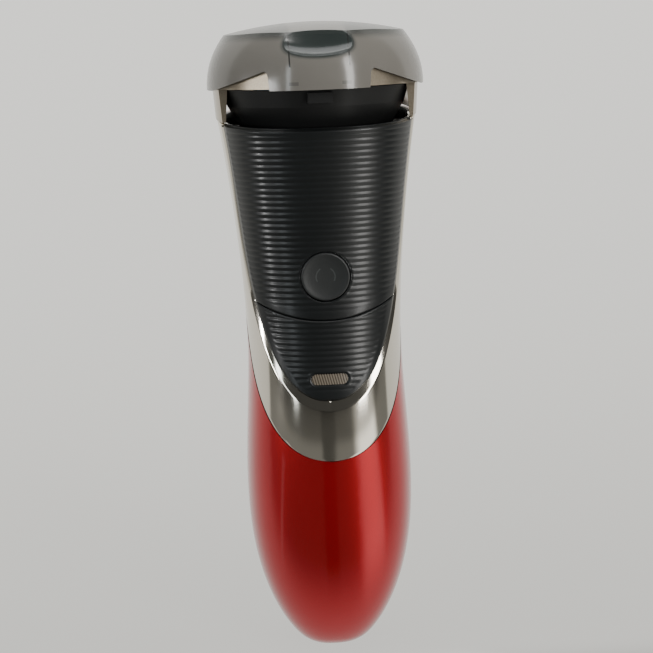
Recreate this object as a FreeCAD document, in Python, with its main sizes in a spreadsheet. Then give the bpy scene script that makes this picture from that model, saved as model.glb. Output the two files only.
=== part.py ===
"""Rotary electric shaver with three floating heads, a pop-up trimmer, a motor with its gear train, and a clip-on cap.

Frame: millimetres, +Z up along the handle, -Y is the front with the button, origin in the middle of the end face.
Every size that can be set by itself is a cell of the sheet "Dims"; what fits to another piece is worked out from
the same cells and a named clearance.
"""
import FreeCAD, Part
import math
import os
import re
import Sketcher
from FreeCAD import Placement, Rotation, Vector

DIMENSIONS = [
    # body form: foot, belly, waist and shoulder of the handle
    ("shoulder_z", 142.0, "height of the shoulder where the head starts"),
    ("foot_half_width", 7.5, "end face, half width"),
    ("foot_half_depth", 6.5, "end face, half depth"),
    ("belly_z", 46.0, "height of the widest part of the handle"),
    ("belly_half_width", 21.9, "half width at the belly"),
    ("waist_z", 86.5, "height of the waist"),
    ("waist_half_width", 20.05, "half width at the waist"),
    ("shoulder_half_width", 25.0, "half width at the shoulder"),
    ("belly_front_z", 58.0, "height of the deepest point of the front"),
    ("belly_front", 22.5, "depth of the front at the belly"),
    ("waist_front_z", 106.0, "height of the slimmest point of the front"),
    ("waist_front", 18.3, "depth of the front at the waist"),
    ("shoulder_front", 22.8, "depth of the front at the shoulder"),
    ("belly_back_z", 62.0, "height of the deepest point of the back"),
    ("belly_back", 20.8, "depth of the back at the belly"),
    ("waist_back_z", 118.0, "height of the slimmest point of the back"),
    ("waist_back", 19.6, "depth of the back at the waist"),
    ("shoulder_back", 22.4, "depth of the back at the shoulder"),
    ("squareness", 2.35, "exponent of the superellipse cross-section"),
    ("shell_wall", 1.8, "wall of the outer shells"),
    ("floor_wall", 3.0, "thickness of the shell at the end face"),
    ("seam_gap", 0.15, "gap between neighbouring covers"),
    ("shoulder_tilt", 5.0, "forward slope of the shoulder plane, degrees"),
    # chrome trim and front panels
    ("trim_tip_z", 57.2, "lowest point of the chrome trim"),
    ("trim_side_z", 97.0, "height where the trim meets the parting line"),
    ("panel_tip_z", 72.7, "lowest point of the ribbed panel"),
    ("panel_side_z", 125.0, "height where the panel reaches its full share of the width"),
    ("panel_share", 0.945, "share of the width that the panel covers"),
    ("seam_z", 92.6, "height of the seam between the two panels, at the middle"),
    ("seam_rise", 3.9, "rise of that seam at its ends"),
    ("seam_span", 17.0, "half length of the seam"),
    # power button and charge window
    ("button_z", 103.5, "height of the power button"),
    ("button_radius", 6.05, "radius of the power button"),
    ("button_gap", 0.25, "gap round the power button"),
    ("button_proud", 0.15, "how far the button stands out"),
    ("button_travel", 0.6, "travel of the button"),
    ("switch_height", 0.8, "height of the switch under the button"),
    ("switch_plunger", 0.35, "height of the switch's plunger"),
    ("switch_width", 5.2, "width of the switch's case"),
    ("switch_plunger_radius", 1.3, "radius of the switch's plunger"),
    ("flange_rim", 0.8, "how far the button's flange stands out round it"),
    ("flange_height", 0.6, "thickness of the button's flange"),
    ("window_z", 78.1, "height of the charge window"),
    ("window_length", 9.2, "length of the charge window"),
    ("window_height", 2.75, "height of the charge window opening"),
    ("light_width", 2.4, "width of the charge light"),
    ("light_depth", 0.9, "depth of the charge light"),
    ("light_height", 1.4, "height of the charge light"),
    ("guide_width", 7.2, "width of the light guide"),
    ("guide_height", 2.15, "height of the light guide"),
    # head layout
    ("head_y", 2.0, "offset of the head centre and of the motor axis"),
    ("gear_module", 0.5, "module of the gears"),
    ("pinion_teeth", 22, "teeth of the motor pinion"),
    ("gear_teeth", 29, "teeth of each drive gear"),
    ("gear_z", 134.2, "underside of the gears"),
    ("gear_height", 3.0, "face width of the gears"),
    ("gear_backlash", 0.2, "play between the teeth at the pitch line"),
    ("tooth_addendum", 0.35, "height of a tooth above the pitch line"),
    ("tooth_dedendum", 0.5, "depth of the gap between teeth below it"),
    ("tooth_flank", 22.0, "angle of the straight tooth flanks, degrees"),
    ("spindle_radius", 1.6, "radius of a drive spindle"),
    ("spindle_top_z", 145.9, "top of the round part of a drive spindle"),
    ("spindle_blade_height", 3.7, "height of the flat drive blade on a spindle"),
    ("spindle_blade_length", 3.4, "length of the flat drive blade"),
    ("spindle_blade_width", 1.2, "thickness of the flat drive blade"),
    ("spindle_flange", 2.6, "radius of the flange that fixes a spindle on its gear"),
    ("flange_thickness", 0.5, "thickness of that flange"),
    ("spindle_end", 2.0, "thickness of the spindle's closed end"),
    ("end_play", 0.4, "play between the axle and the spindle's closed end"),
    ("axle_radius", 0.75, "radius of a gear axle"),
    ("running_gap", 0.05, "radial clearance of running fits"),
    ("part_gap", 0.3, "clearance between pieces that don't touch"),
    # head frame, hair chamber and cap
    ("frame_z", 149.5, "underside of the head frame"),
    ("frame_height", 4.3, "height of the head frame"),
    ("frame_half_width", 25.75, "half width of the head frame"),
    ("frame_front", 22.6, "depth of the frame in front of the parting line"),
    ("frame_back", 24.2, "depth of the frame behind it"),
    ("frame_wall", 1.6, "wall of the head frame"),
    ("lobe", 2.0, "how far the front lobe stands out"),
    ("lobe_half_width", 11.0, "half width of the front lobe"),
    ("ear_half_depth", 10.0, "half depth of the ears beside the shoulder"),
    ("frame_taper", 0.6, "how much the frame narrows to its top"),
    ("frame_ledge", 1.0, "width of the ledge that carries the head holder"),
    ("ear_top", 1.9, "thickness of an ear at the frame"),
    ("ear_tip", 0.7, "thickness of an ear at its tip"),
    ("bowl_top_z", 149.2, "rim of the hair chamber"),
    ("bowl_neck_z", 145.0, "height where the hair chamber's wall bends"),
    ("bowl_inset", 2.2, "how far the hair chamber's rim is inside the frame's outline"),
    ("bowl_neck_inset", 3.5, "how far its neck is inside that outline"),
    ("bowl_floor_inset", 6.5, "how far its floor is inside that outline"),
    ("bowl_wall", 1.0, "wall of the hair chamber"),
    ("bowl_floor", 1.2, "floor of the hair chamber"),
    ("deck_z", 138.0, "underside of the top deck"),
    ("deck_thickness", 1.6, "thickness of the top deck"),
    ("gearbox_z", 131.4, "underside of the gearbox plate, on the motor"),
    ("gearbox_thickness", 1.8, "thickness of the gearbox plate"),
    ("post_radius", 2.2, "radius of the posts that carry the deck"),
    ("front_post_x", 16.5, "offset of the two front posts"),
    ("front_post_y", -5.5, "offset of the two front posts, front to back"),
    ("rear_post_y", 16.6, "offset of the rear post"),
    ("case_screw_x", 19.2, "offset of the screws into the red shell"),
    ("case_screw_y", 2.6, "offset of those screws, front to back"),
    ("shell_boss_z", 126.0, "lower end of the bosses in the red shell"),
    ("shell_boss_radius", 1.9, "radius of the bosses in the red shell"),
    ("shell_rib", 1.8, "thickness of the rib that joins a boss to the wall"),
    ("axle_boss", 1.3, "wall of the boss round a gear axle"),
    ("head_ring_radius", 10.4, "outer radius of a shaving head's ring"),
    ("head_bore", 8.75, "radius of the bore of a head's ring"),
    ("ring_skirt", 9.5, "radius of a head ring's skirt, which slides in the holder"),
    ("skirt_play", 0.2, "play round that skirt"),
    ("guard_radius", 8.65, "outer radius of a guard"),
    ("guard_height", 3.2, "height of a guard"),
    ("guard_wall", 0.5, "wall of a guard"),
    ("guard_slot_start", 4.4, "radius where a guard's slots start"),
    ("guard_slot_width", 0.4, "width of a guard's slots"),
    ("guard_rim", 0.9, "land between the slots and a guard's edge"),
    ("centre_pin", 0.8, "radius of the pin that centres a cutter"),
    ("cutter_radius", 7.6, "radius of a cutter"),
    ("cutter_drop", 1.4, "how far a cutter's plate lies below its guard"),
    ("cutter_plate", 0.8, "thickness of a cutter's plate"),
    ("cutter_blade_start", 5.0, "radius where a cutter's blades start"),
    ("cutter_blade_width", 0.6, "thickness of a cutter's blades"),
    ("cutter_hub", 2.2, "radius of a cutter's hub"),
    ("carrier_hub", 3.4, "radius of the carrier's hub"),
    ("carrier_plate", 6.4, "radius of the carrier's plate"),
    ("carrier_plate_height", 1.4, "thickness of the carrier's plate"),
    ("drive_play", 0.6, "play between the spindle's blade and the carrier's slot"),
    ("guard_top_z", 156.2, "top of the guards"),
    ("holder_z", 150.3, "underside of the head holder plate"),
    ("holder_height", 1.6, "thickness of the head holder plate"),
    ("float_travel", 1.2, "travel of a floating head"),
    ("cap_rim_z", 149.2, "lower edge of the cap at the sides and the tab"),
    ("cap_half_width", 27.1, "half width of the cap at its rim"),
    ("cap_front", 24.0, "depth of the cap in front, without the lobe"),
    ("cap_back", 25.7, "depth of the cap behind"),
    ("cap_draft", 3.1, "how much the cap narrows to its shoulder"),
    ("cap_shoulder_z", 160.0, "height of the cap's shoulder"),
    ("cap_top_z", 165.0, "top of the cap"),
    ("cap_dome_radius", 95.0, "radius of the cap's domed top"),
    ("cap_wall", 1.1, "wall of the cap"),
    ("cap_arch_z", 153.7, "top of the arches beside the cap's tab"),
    ("cap_tab_half_width", 11.4, "half width of the cap's tab"),
    ("scoop_half_width", 12.4, "half width of the finger scoop"),
    ("scoop_depth", 4.2, "depth of the finger scoop"),
    ("scoop_half_height", 6.0, "half height of the finger scoop"),
    ("scoop_z", 162.8, "height of the middle of the finger scoop"),
    ("head_pivot_y", 23.6, "hinge of the flip-open head"),
    ("head_pivot_z", 147.0, "height of that hinge"),
    ("hinge_pin_radius", 0.8, "radius of the hinge pin"),
    ("knuckle_radius", 1.6, "radius of the hinge knuckles"),
    ("knuckle_width", 4.0, "width of a hinge knuckle"),
    ("knuckle_web", 1.0, "thickness of the web between a knuckle and the frame"),
    ("lug_width", 7.0, "width of the hair chamber's hinge lug"),
    ("lug_root", 4.6, "length of the block that joins the lug to the bowl"),
    ("catch_width", 6.0, "width of the front catch"),
    ("catch_depth", 3.0, "depth of the front catch"),
    ("catch_height", 2.4, "height of the front catch"),
    ("seal_width", 1.0, "width of a spindle seal at its foot"),
    ("seal_height", 1.1, "height of a spindle seal"),
    # motor
    ("motor_radius", 10.0, "radius of the motor can"),
    ("motor_length", 27.5, "length of the motor can"),
    ("motor_wall", 0.8, "wall of the motor can"),
    ("motor_shaft_radius", 1.0, "radius of the motor shaft"),
    ("rotor_radius", 5.6, "radius of the rotor"),
    ("magnet_thickness", 2.6, "thickness of the magnets"),
    ("boss_radius", 3.0, "radius of the motor's front boss"),
    ("end_cap_height", 3.0, "height of the motor's end cap"),
    ("bearing_depth", 2.0, "depth of the motor's bearings inside its ends"),
    ("motor_screw", 0.6, "radius of the motor screws"),
    ("motor_screw_head", 1.15, "radius of their heads"),
    ("motor_screw_head_height", 0.7, "height of their heads"),
    ("motor_screw_circle", 7.4, "radius of the circle the motor screws lie on"),
    ("rotor_inset", 5.0, "space below the rotor in the can"),
    ("magnet_slit", 5.0, "width of the slits between the magnets"),
    ("rotor_hub", 2.6, "radius where the rotor's slots start"),
    ("rotor_slot", 1.4, "width of the rotor's slots"),
    ("terminal_width", 1.6, "width of a motor terminal"),
    ("terminal_thickness", 0.5, "thickness of a motor terminal"),
    ("terminal_length", 2.2, "length of a motor terminal below the end cap"),
    ("terminal_spread", 4.0, "offset of the terminals from the axis"),
    ("lead_overlap", 0.6, "how far a lead lies inside the end of its terminal"),
    ("lead_radius", 0.45, "radius of the leads"),
    # battery, board and chassis
    ("cell_radius", 7.0, "radius of the battery cell"),
    ("cell_length", 50.0, "length of the battery cell"),
    ("cell_z", 27.0, "lower end of the cell"),
    ("cell_y", 3.0, "offset of the cell"),
    ("tab_thickness", 0.3, "thickness of the cell's tabs"),
    ("tab_width", 4.0, "width of the cell's tabs"),
    ("tab_slack", 0.2, "clearance round a tab in the chassis"),
    ("tab_reach", 2.0, "how far a tab reaches past the cell's middle"),
    ("cell_crimp", 0.6, "depth of the crimped edge of the cell"),
    ("cell_crimp_height", 1.2, "height of the cell's end above its wrap"),
    ("cell_pole", 2.6, "radius of the cell's pole"),
    ("cell_pole_height", 0.8, "height of the cell's pole"),
    ("board_y", -13.2, "front face of the circuit board"),
    ("board_thickness", 1.2, "thickness of the circuit board"),
    ("board_width", 20.0, "width of the circuit board"),
    ("board_z", 24.0, "lower edge of the circuit board"),
    ("board_length", 88.0, "length of the circuit board"),
    ("controller_size", 7.0, "side of the controller chip"),
    ("controller_rise", 22.0, "height of the controller chip above the board's lower edge"),
    ("chip_depth", 1.0, "height of the chips off the board"),
    ("charger_width", 5.0, "width of the charger chip"),
    ("charger_height", 4.0, "height of the charger chip"),
    ("charger_depth", 1.2, "how far the charger chip stands off the board"),
    ("charger_x", 4.0, "offset of the charger chip"),
    ("charger_rise", 10.0, "height of the charger chip above the board's lower edge"),
    ("coil_radius", 2.2, "radius of the coil"),
    ("coil_depth", 2.4, "how far the coil stands off the board"),
    ("coil_x", -4.5, "offset of the coil"),
    ("coil_rise", 12.0, "height of the coil above the board's lower edge"),
    ("driver_size", 4.0, "side of the motor driver"),
    ("driver_x", 5.0, "offset of the motor driver"),
    ("driver_rise", 64.0, "height of the motor driver above the board's lower edge"),
    ("chassis_thickness", 1.4, "thickness of the chassis plate"),
    ("cradle_wall", 1.2, "wall of the motor and cell cradles"),
    ("cradle_height", 6.0, "height of a cradle ring"),
    ("lower_ring_rise", 4.0, "height of the lower cell ring above the cell's lower end"),
    ("upper_ring_drop", 11.0, "distance of the upper cell ring below the cell's upper end"),
    ("web_width", 7.0, "width of the webs between the cell rings and the plate"),
    ("motor_web_width", 12.0, "width of the web behind the motor ring"),
    ("shelf_width", 11.0, "width of the shelf under the cell"),
    ("shelf_thickness", 1.6, "thickness of the shelf under the cell"),
    ("shelf_reach", 6.0, "how far the shelf reaches past the cell's middle"),
    ("lead_window_width", 13.0, "width of the window for the motor leads"),
    ("lead_window_height", 5.0, "height of the window for the motor leads"),
    ("cradle_opening", 5.4, "wall of the motor ring left behind the motor's widest line"),
    # charging socket
    ("socket_half_width", 4.6, "half width of the charging socket's opening"),
    ("socket_half_depth", 3.2, "half depth of the opening"),
    ("socket_depth", 9.0, "depth of the opening"),
    ("socket_wall", 1.2, "wall of the socket"),
    ("contact_radius", 0.7, "radius of the charging contacts"),
    ("contact_spacing", 4.4, "distance between the charging contacts"),
    ("contact_z", 5.0, "lower end of the charging contacts"),
    ("contact_tail", 2.0, "how far a contact stands out above the socket"),
    ("lead_gap", 0.35, "distance of a lead's middle above its contact"),
    ("pad_drop", 0.9, "distance of a lead's end below the board's edge"),
    # pop-up trimmer
    ("trimmer_pivot_z", 124.5, "height of the trimmer's pivot"),
    ("trimmer_pivot_y", 16.3, "offset of the trimmer's pivot"),
    ("trimmer_pin_radius", 0.5, "radius of the trimmer's pin"),
    ("trimmer_knuckle", 1.0, "radius of the trimmer's knuckles"),
    ("trimmer_top_rise", 1.6, "how far the cover reaches above its pivot"),
    ("trimmer_relief", 2.6, "how far the opening reaches above the pivot, for the open cover"),
    ("trimmer_bottom_z", 101.0, "lower edge of the trimmer cover"),
    ("trimmer_half_width", 10.0, "half width of the trimmer cover"),
    ("trimmer_side_wall", 2.3, "wall of the trimmer bay beside the cover"),
    ("bay_foot", 1.6, "wall of the trimmer bay below the cover"),
    ("bay_head", 5.0, "height of the trimmer bay above the pivot"),
    ("bay_depth", 14.0, "depth of the room cut for the trimmer"),
    ("barrel_width", 10.0, "width of the cover's hinge barrel"),
    ("bay_lug_width", 1.7, "width of the bay's hinge lugs"),
    ("cover_reach", 0.15, "how far the cover's round top stands out of the handle"),
    ("tooth_pitch", 1.2, "pitch of the trimmer's teeth"),
    ("tooth_length", 3.0, "length of the trimmer's teeth"),
    ("comb_gap", 0.4, "height of the comb above the cover's lower edge"),
    ("comb_width", 17.4, "width of the comb"),
    ("comb_tooth", 0.8, "width of the comb's teeth"),
    ("comb_length", 8.6, "height of the comb with its teeth"),
    ("comb_thickness", 0.7, "thickness of the comb"),
    ("comb_depth", 0.2, "distance of the comb's middle in front of the pivot"),
    ("blade_width", 15.0, "width of the trimmer blade"),
    ("blade_tooth", 0.7, "width of the blade's teeth"),
    ("blade_lift", 0.5, "how far the blade's teeth stay behind the comb's"),
    ("blade_length", 7.0, "height of the blade with its teeth"),
    ("blade_thickness", 0.5, "thickness of the trimmer blade"),
    ("blade_depth", 1.0, "distance of the blade's middle in front of the pivot"),
    ("trimmer_cover_wall", 1.5, "wall of the trimmer cover"),
    ("trimmer_floor_y", 13.7, "floor of the trimmer bay"),
    ("trimmer_floor", 0.7, "thickness of that floor"),
    ("slider_z", 90.5, "height of the trimmer slider"),
    ("slider_length", 7.0, "length of the slider"),
    ("slider_half_width", 6.5, "half width of the slider"),
    ("slider_travel", 4.0, "travel of the slider"),
    ("slider_thickness", 1.5, "thickness of the slider's pad"),
    ("slider_neck", 2.7, "how much narrower the slider's stem is on each side"),
    ("slider_step", 1.15, "how much shorter the stem is at each end"),
    ("slider_flange", 0.9, "thickness of the slider's inner flange"),
    ("slider_flange_inset", 1.0, "how much narrower that flange is on each side"),
    ("slider_play", 0.15, "play between the pad and the shell"),
    ("slot_play", 0.2, "play of the slider's stem in its slot"),
    ("ridge_pitch", 1.3, "pitch of the ridges on the slider"),
    ("ridge_height", 0.6, "height of a ridge"),
    ("ridge_depth", 0.5, "depth of a ridge"),
    # rear grip
    ("grip_bottom_z", 20.0, "lower end of the rear grip"),
    ("grip_top_z", 84.0, "upper end of the rear grip"),
    ("grip_half_width", 11.0, "half width of the rear grip"),
    ("grip_thickness", 1.0, "thickness of the rear grip"),
    # fasteners
    ("screw_radius", 0.9, "radius of the screws' shanks"),
    ("screw_head_radius", 1.7, "radius of the screws' heads"),
    ("screw_head_height", 1.1, "height of the screws' heads"),
    ("screw_length", 6.0, "length of the screws' shanks"),
    ("screw_slot", 0.4, "width of the screws' slots"),
]

# how finely the freeform outlines are sampled
LOFT_LOW = 9
LOFT_STEP = 8.0
SECTION_POINTS = 48
U_POINTS = 14
CAP_STATIONS = 5
GRIP_MARGIN = 8.0

# powers of the curves: the rounded end, the flare to the shoulder, the two U outlines and the cap's sides
END_POWER, END_ROUNDNESS = 2.33, 1.315
SIDE_FLARE, BACK_FLARE = 1.65, 1.5
TRIM_SHARE, TRIM_FLARE, TRIM_POWER, TRIM_ROUNDNESS = 1.0, 0.06, 2.6, 2.1
PANEL_POWER, PANEL_ROUNDNESS = 3.0, 2.1
FLARE_POWER = 20
CAP_ROUNDING = 2.2

# counts and directions
HEAD_ANGLES = (-90, 30, 150)
GUARD_SLOTS = 30
CUTTER_BLADES = 9
ROTOR_SLOTS = 3

# cutting blocks reach this far past the piece they cut
FRONT_REACH = 60.0
TOP_REACH = 12.0
THROUGH = 30
FIT_CUT = 0.1

# heights and places that follow from the sheet
SPREAD = "((pinion_teeth + gear_teeth) * gear_module / 2)"
MOTOR_Z = "(gearbox_z - motor_length)"
MOTOR_RING_Z = f"({MOTOR_Z} + 3)"
LEAD_Z = f"({MOTOR_Z} - end_cap_height - terminal_length + lead_overlap)"
SPINE_FRONT = "(board_y + board_thickness)"
SPINE_BACK = "(board_y + board_thickness + chassis_thickness)"
DECK_TOP = "(deck_z + deck_thickness)"
KNUCKLE_ROOT = "1.6 * trimmer_knuckle"
KNUCKLE_ROOT_Z = "trimmer_pivot_z - 0.8 * trimmer_knuckle"
CUTTER_Z = "(guard_top_z - guard_height - cutter_drop)"
PIN_LENGTH = "(2 * knuckle_width + lug_width + 2 * part_gap)"
CASE_SCREWS = (("case_screw_x", "case_screw_y"), ("-case_screw_x", "case_screw_y"))
POST_SCREWS = (("0", "rear_post_y"), ("front_post_x", "front_post_y"), ("-front_post_x", "front_post_y"))

doc = FreeCAD.newDocument("electric_shaver")
ALIASES = {alias for alias, _, _ in DIMENSIONS}
SHEET = doc.addObject("Spreadsheet::Sheet", "Dims")
for row, (alias, number, note) in enumerate(DIMENSIONS, start=1):
    SHEET.set(f"A{row}", note)
    SHEET.set(f"B{row}", str(number))
    SHEET.setAlias(f"B{row}", alias)
doc.recompute()

KEPT = []


def val(alias):
    """The number in the cell of that name."""
    return float(SHEET.get(alias))


def qualify(text):
    """The expression with the sheet's name put before each alias in it."""
    return re.sub(r"[A-Za-z_]\w*", lambda m: f"Dims.{m.group(0)}" if m.group(0) in ALIASES else m.group(0), str(text))


def bind(obj, **expressions):
    """Binds properties to expressions on the sheet; a double underscore stands for a dot."""
    for name, text in expressions.items():
        obj.setExpression(name.replace("__", "."), qualify(text))
    return obj


def place(obj, x=0, y=0, z=0):
    """Binds an object's position."""
    return bind(obj, Placement__Base__x=x, Placement__Base__y=y, Placement__Base__z=z)


def keep(obj, label):
    """Marks an object as a finished piece of the shaver, under that label."""
    obj.Label = label
    KEPT.append(obj)
    return obj


def box(name, width, depth, height, x=0, y=0, z=0):
    """A box whose middle in X and Y is at (x, y) and whose underside is at z."""
    obj = doc.addObject("Part::Box", name)
    bind(obj, Length=width, Width=depth, Height=height)
    return place(obj, f"{x} - ({width}) / 2", f"{y} - ({depth}) / 2", z)


def cylinder(name, radius, height, x=0, y=0, z=0, axis="z"):
    """A cylinder that starts at (x, y, z) and runs along an axis."""
    turns = {"z": Rotation(), "x": Rotation(Vector(0, 1, 0), 90), "y": Rotation(Vector(1, 0, 0), -90)}
    obj = doc.addObject("Part::Cylinder", name)
    obj.Placement = Placement(Vector(), turns[axis])
    bind(obj, Radius=radius, Height=height)
    return place(obj, x, y, z)


def fuse(name, *shapes):
    """The union of the shapes."""
    obj = doc.addObject("Part::MultiFuse", name)
    obj.Shapes = list(shapes)
    return obj


def cut(name, base, *tools):
    """The base with the tools taken away."""
    obj = doc.addObject("Part::Cut", name)
    obj.Base = base
    obj.Tool = tools[0] if len(tools) == 1 else fuse(name + "_tools", *tools)
    return obj


def common(name, *shapes):
    """What the shapes share."""
    obj = doc.addObject("Part::MultiCommon", name)
    obj.Shapes = list(shapes)
    return obj


def free_shape(name, shape):
    """A document object for a freeform shape that was worked out from the sheet's values."""
    obj = doc.addObject("Part::Feature", name)
    obj.Shape = shape
    return obj


# ---------------------------------------------------------------- PartDesign helpers

def origin_plane(body, role):
    """One of a body's own origin planes."""
    return next(f for f in body.Origin.OriginFeatures if f.Role == role)


def new_sketch(body, role, name):
    """A sketch on one of the body's origin planes."""
    sketch = body.newObject("Sketcher::SketchObject", name)
    sketch.AttachmentSupport = [(origin_plane(body, role), "")]
    sketch.MapMode = "FlatFace"
    return sketch


def bind_point(sketch, geometry, point, x, y):
    """Ties a sketch point to a pair of expressions; 0 puts it on the axis."""
    for kind, axis, text in (("DistanceX", -2, x), ("DistanceY", -1, y)):
        if str(text) == "0":
            sketch.addConstraint(Sketcher.Constraint("PointOnObject", geometry, point, axis))
        else:
            index = sketch.addConstraint(Sketcher.Constraint(kind, geometry, point, 1.0))
            sketch.setExpression(f"Constraints[{index}]", qualify(text))


def polygon(sketch, corners):
    """A closed outline of straight lines through corners given as pairs of expressions."""
    count = len(corners)
    for i in range(count):
        turn = 2 * math.pi * i / count
        ahead = 2 * math.pi * (i + 1) / count
        start = Vector(5 + 3 * math.cos(turn), 5 + 3 * math.sin(turn), 0)
        end = Vector(5 + 3 * math.cos(ahead), 5 + 3 * math.sin(ahead), 0)
        sketch.addGeometry(Part.LineSegment(start, end), False)
    for i in range(count):
        sketch.addConstraint(Sketcher.Constraint("Coincident", i, 2, (i + 1) % count, 1))
    for i, (x, y) in enumerate(corners):
        bind_point(sketch, i, 1, x, y)


def circle(sketch, radius, x="0", y="0"):
    """A circle whose radius and centre are expressions."""
    index = sketch.addGeometry(Part.Circle(Vector(0, 0, 0), Vector(0, 0, 1), 1.0), False)
    ring = sketch.addConstraint(Sketcher.Constraint("Radius", index, 1.0))
    sketch.setExpression(f"Constraints[{ring}]", qualify(radius))
    if str(x) == "0" and str(y) == "0":
        sketch.addConstraint(Sketcher.Constraint("Coincident", index, 3, -1, 1))
    else:
        bind_point(sketch, index, 3, x, y)


def turned(name, corners, x=0, y=0, z=0):
    """A PartDesign body turned about +Z from an outline of (radius, height) expressions."""
    body = doc.addObject("PartDesign::Body", name)
    sketch = new_sketch(body, "XZ_Plane", name + "_profile")
    polygon(sketch, corners)
    revolution = body.newObject("PartDesign::Revolution", name + "_turn")
    revolution.Profile = sketch
    revolution.ReferenceAxis = (sketch, ["V_Axis"])
    revolution.Angle = 360
    body.Tip = revolution
    return place(body, x, y, z)


def padded(name, role, draw, length, x=0, y=0, z=0):
    """A PartDesign body padded from an outline that draw puts in its sketch."""
    body = doc.addObject("PartDesign::Body", name)
    sketch = new_sketch(body, role, name + "_outline")
    draw(sketch)
    pad = body.newObject("PartDesign::Pad", name + "_pad")
    pad.Profile = sketch
    bind(pad, Length=length)
    body.Tip = pad
    return place(body, x, y, z)


# ---------------------------------------------------------------- body form

def rise(z, foot, belly, waist, shoulder, belly_z, waist_z, shoulder_power):
    """A half size of the handle at height z: a rounded end, a smooth neck-in and a flare to the shoulder."""
    if z < belly_z:
        return foot + (belly - foot) * (1 - (1 - z / belly_z) ** END_POWER) ** (1 / END_ROUNDNESS)
    if z < waist_z:
        share = (z - belly_z) / (waist_z - belly_z)
        return belly + (waist - belly) * share * share * (3 - 2 * share)
    share = (z - waist_z) / (val("shoulder_z") - waist_z)
    return waist + (shoulder - waist) * share ** shoulder_power


def half_width(z):
    return rise(z, val("foot_half_width"), val("belly_half_width"), val("waist_half_width"),
                val("shoulder_half_width"), val("belly_z"), val("waist_z"), SIDE_FLARE)


def front_depth(z):
    return rise(z, val("foot_half_depth"), val("belly_front"), val("waist_front"),
                val("shoulder_front"), val("belly_front_z"), val("waist_front_z"), SIDE_FLARE)


def back_depth(z):
    return rise(z, val("foot_half_depth"), val("belly_back"), val("waist_back"),
                val("shoulder_back"), val("belly_back_z"), val("waist_back_z"), BACK_FLARE)


TRIMMER_REACH = f"({back_depth(val('trimmer_pivot_z')):.3f} + cover_reach - trimmer_pivot_y)"


def outline_wire(half, front, back, z, lobe=0.0, lobe_half=1.0):
    """A closed superellipse outline at height z, with an optional lobe in the middle of its front."""
    points = []
    power = 2 / val("squareness")
    for i in range(SECTION_POINTS):
        angle = 2 * math.pi * i / SECTION_POINTS
        c, s = math.cos(angle), math.sin(angle)
        x = half * math.copysign(abs(c) ** power, c)
        y = (back if s > 0 else front) * math.copysign(abs(s) ** power, s)
        if s < 0:
            y -= lobe * math.exp(-((x / lobe_half) ** 4))
        points.append(Vector(x, y, z))
    curve = Part.BSplineCurve()
    steps = [i / SECTION_POINTS for i in range(SECTION_POINTS + 1)]
    curve.interpolate(Points=points, PeriodicFlag=True, Parameters=steps)
    return Part.Wire(curve.toShape())


def form_section(z, inset):
    """The handle's cross-section at height z, taken in by inset."""
    return outline_wire(half_width(z) - inset, front_depth(z) - inset, back_depth(z) - inset, z)


def form_solid(inset, bottom, top):
    """The handle's form between two heights, taken in by inset."""
    belly = val("belly_z")
    low = [belly * (1 - math.cos(math.pi / 2 * i / LOFT_LOW)) for i in range(LOFT_LOW)]
    steps = int((top - belly) / LOFT_STEP) + 1
    high = [belly + (top - belly) * i / steps for i in range(steps + 1)]
    heights = [bottom] + [z for z in low + high if z > bottom + 1.0 and z < top - 1.0] + [top]
    return Part.makeLoft([form_section(z, inset) for z in heights], True)


def below_shoulder(name, lift=0.0):
    """A large block under the shoulder plane, raised by lift."""
    size = 200.0
    block = Part.makeBox(size, size, size, Vector(-size / 2, -size / 2, -size))
    block.rotate(Vector(), Vector(1, 0, 0), val("shoulder_tilt"))
    block.translate(Vector(0, 0, shoulder_plane_z(0) + lift))
    return free_shape(name, block)


def shoulder_plane_z(y):
    """Height of the shoulder plane at y; it falls towards the front."""
    return val("shoulder_z") + math.tan(math.radians(val("shoulder_tilt"))) * y


def u_outline(name, tip_z, side_z, share, flare, power, roundness, grow, start=0.0):
    """A block whose front view is a U: half width share * width * (1 - t^power)^(1/roundness), grown all round.

    The flare widens it close to side_z and above, which takes the chrome trim's outline off the handle's side.
    """
    top = val("shoulder_z") + TOP_REACH
    right = []
    for i in range(1, U_POINTS + 1):
        t = 1 - (i / U_POINTS) ** 2
        z = side_z - t * (side_z - tip_z)
        reach = share + flare * (1 - t) ** FLARE_POWER
        right.append((reach * half_width(z) * (1 - t ** power) ** (1 / roundness) + grow, z))
    rest = 4
    for i in range(1, rest + 1):
        z = side_z + (top - side_z) * i / rest
        right.append(((share + flare * (1 + 2 * i)) * half_width(z) + grow, z))
    points = [Vector(-x, start, z) for x, z in reversed(right)] + [Vector(0, start, tip_z - grow)]
    points += [Vector(x, start, z) for x, z in right]
    curve = Part.BSplineCurve()
    curve.interpolate(points)
    lid = Part.LineSegment(points[-1], points[0])
    face = Part.Face(Part.Wire([curve.toShape(), lid.toShape()]))
    return free_shape(name, face.extrude(Vector(0, -FRONT_REACH, 0)))


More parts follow.
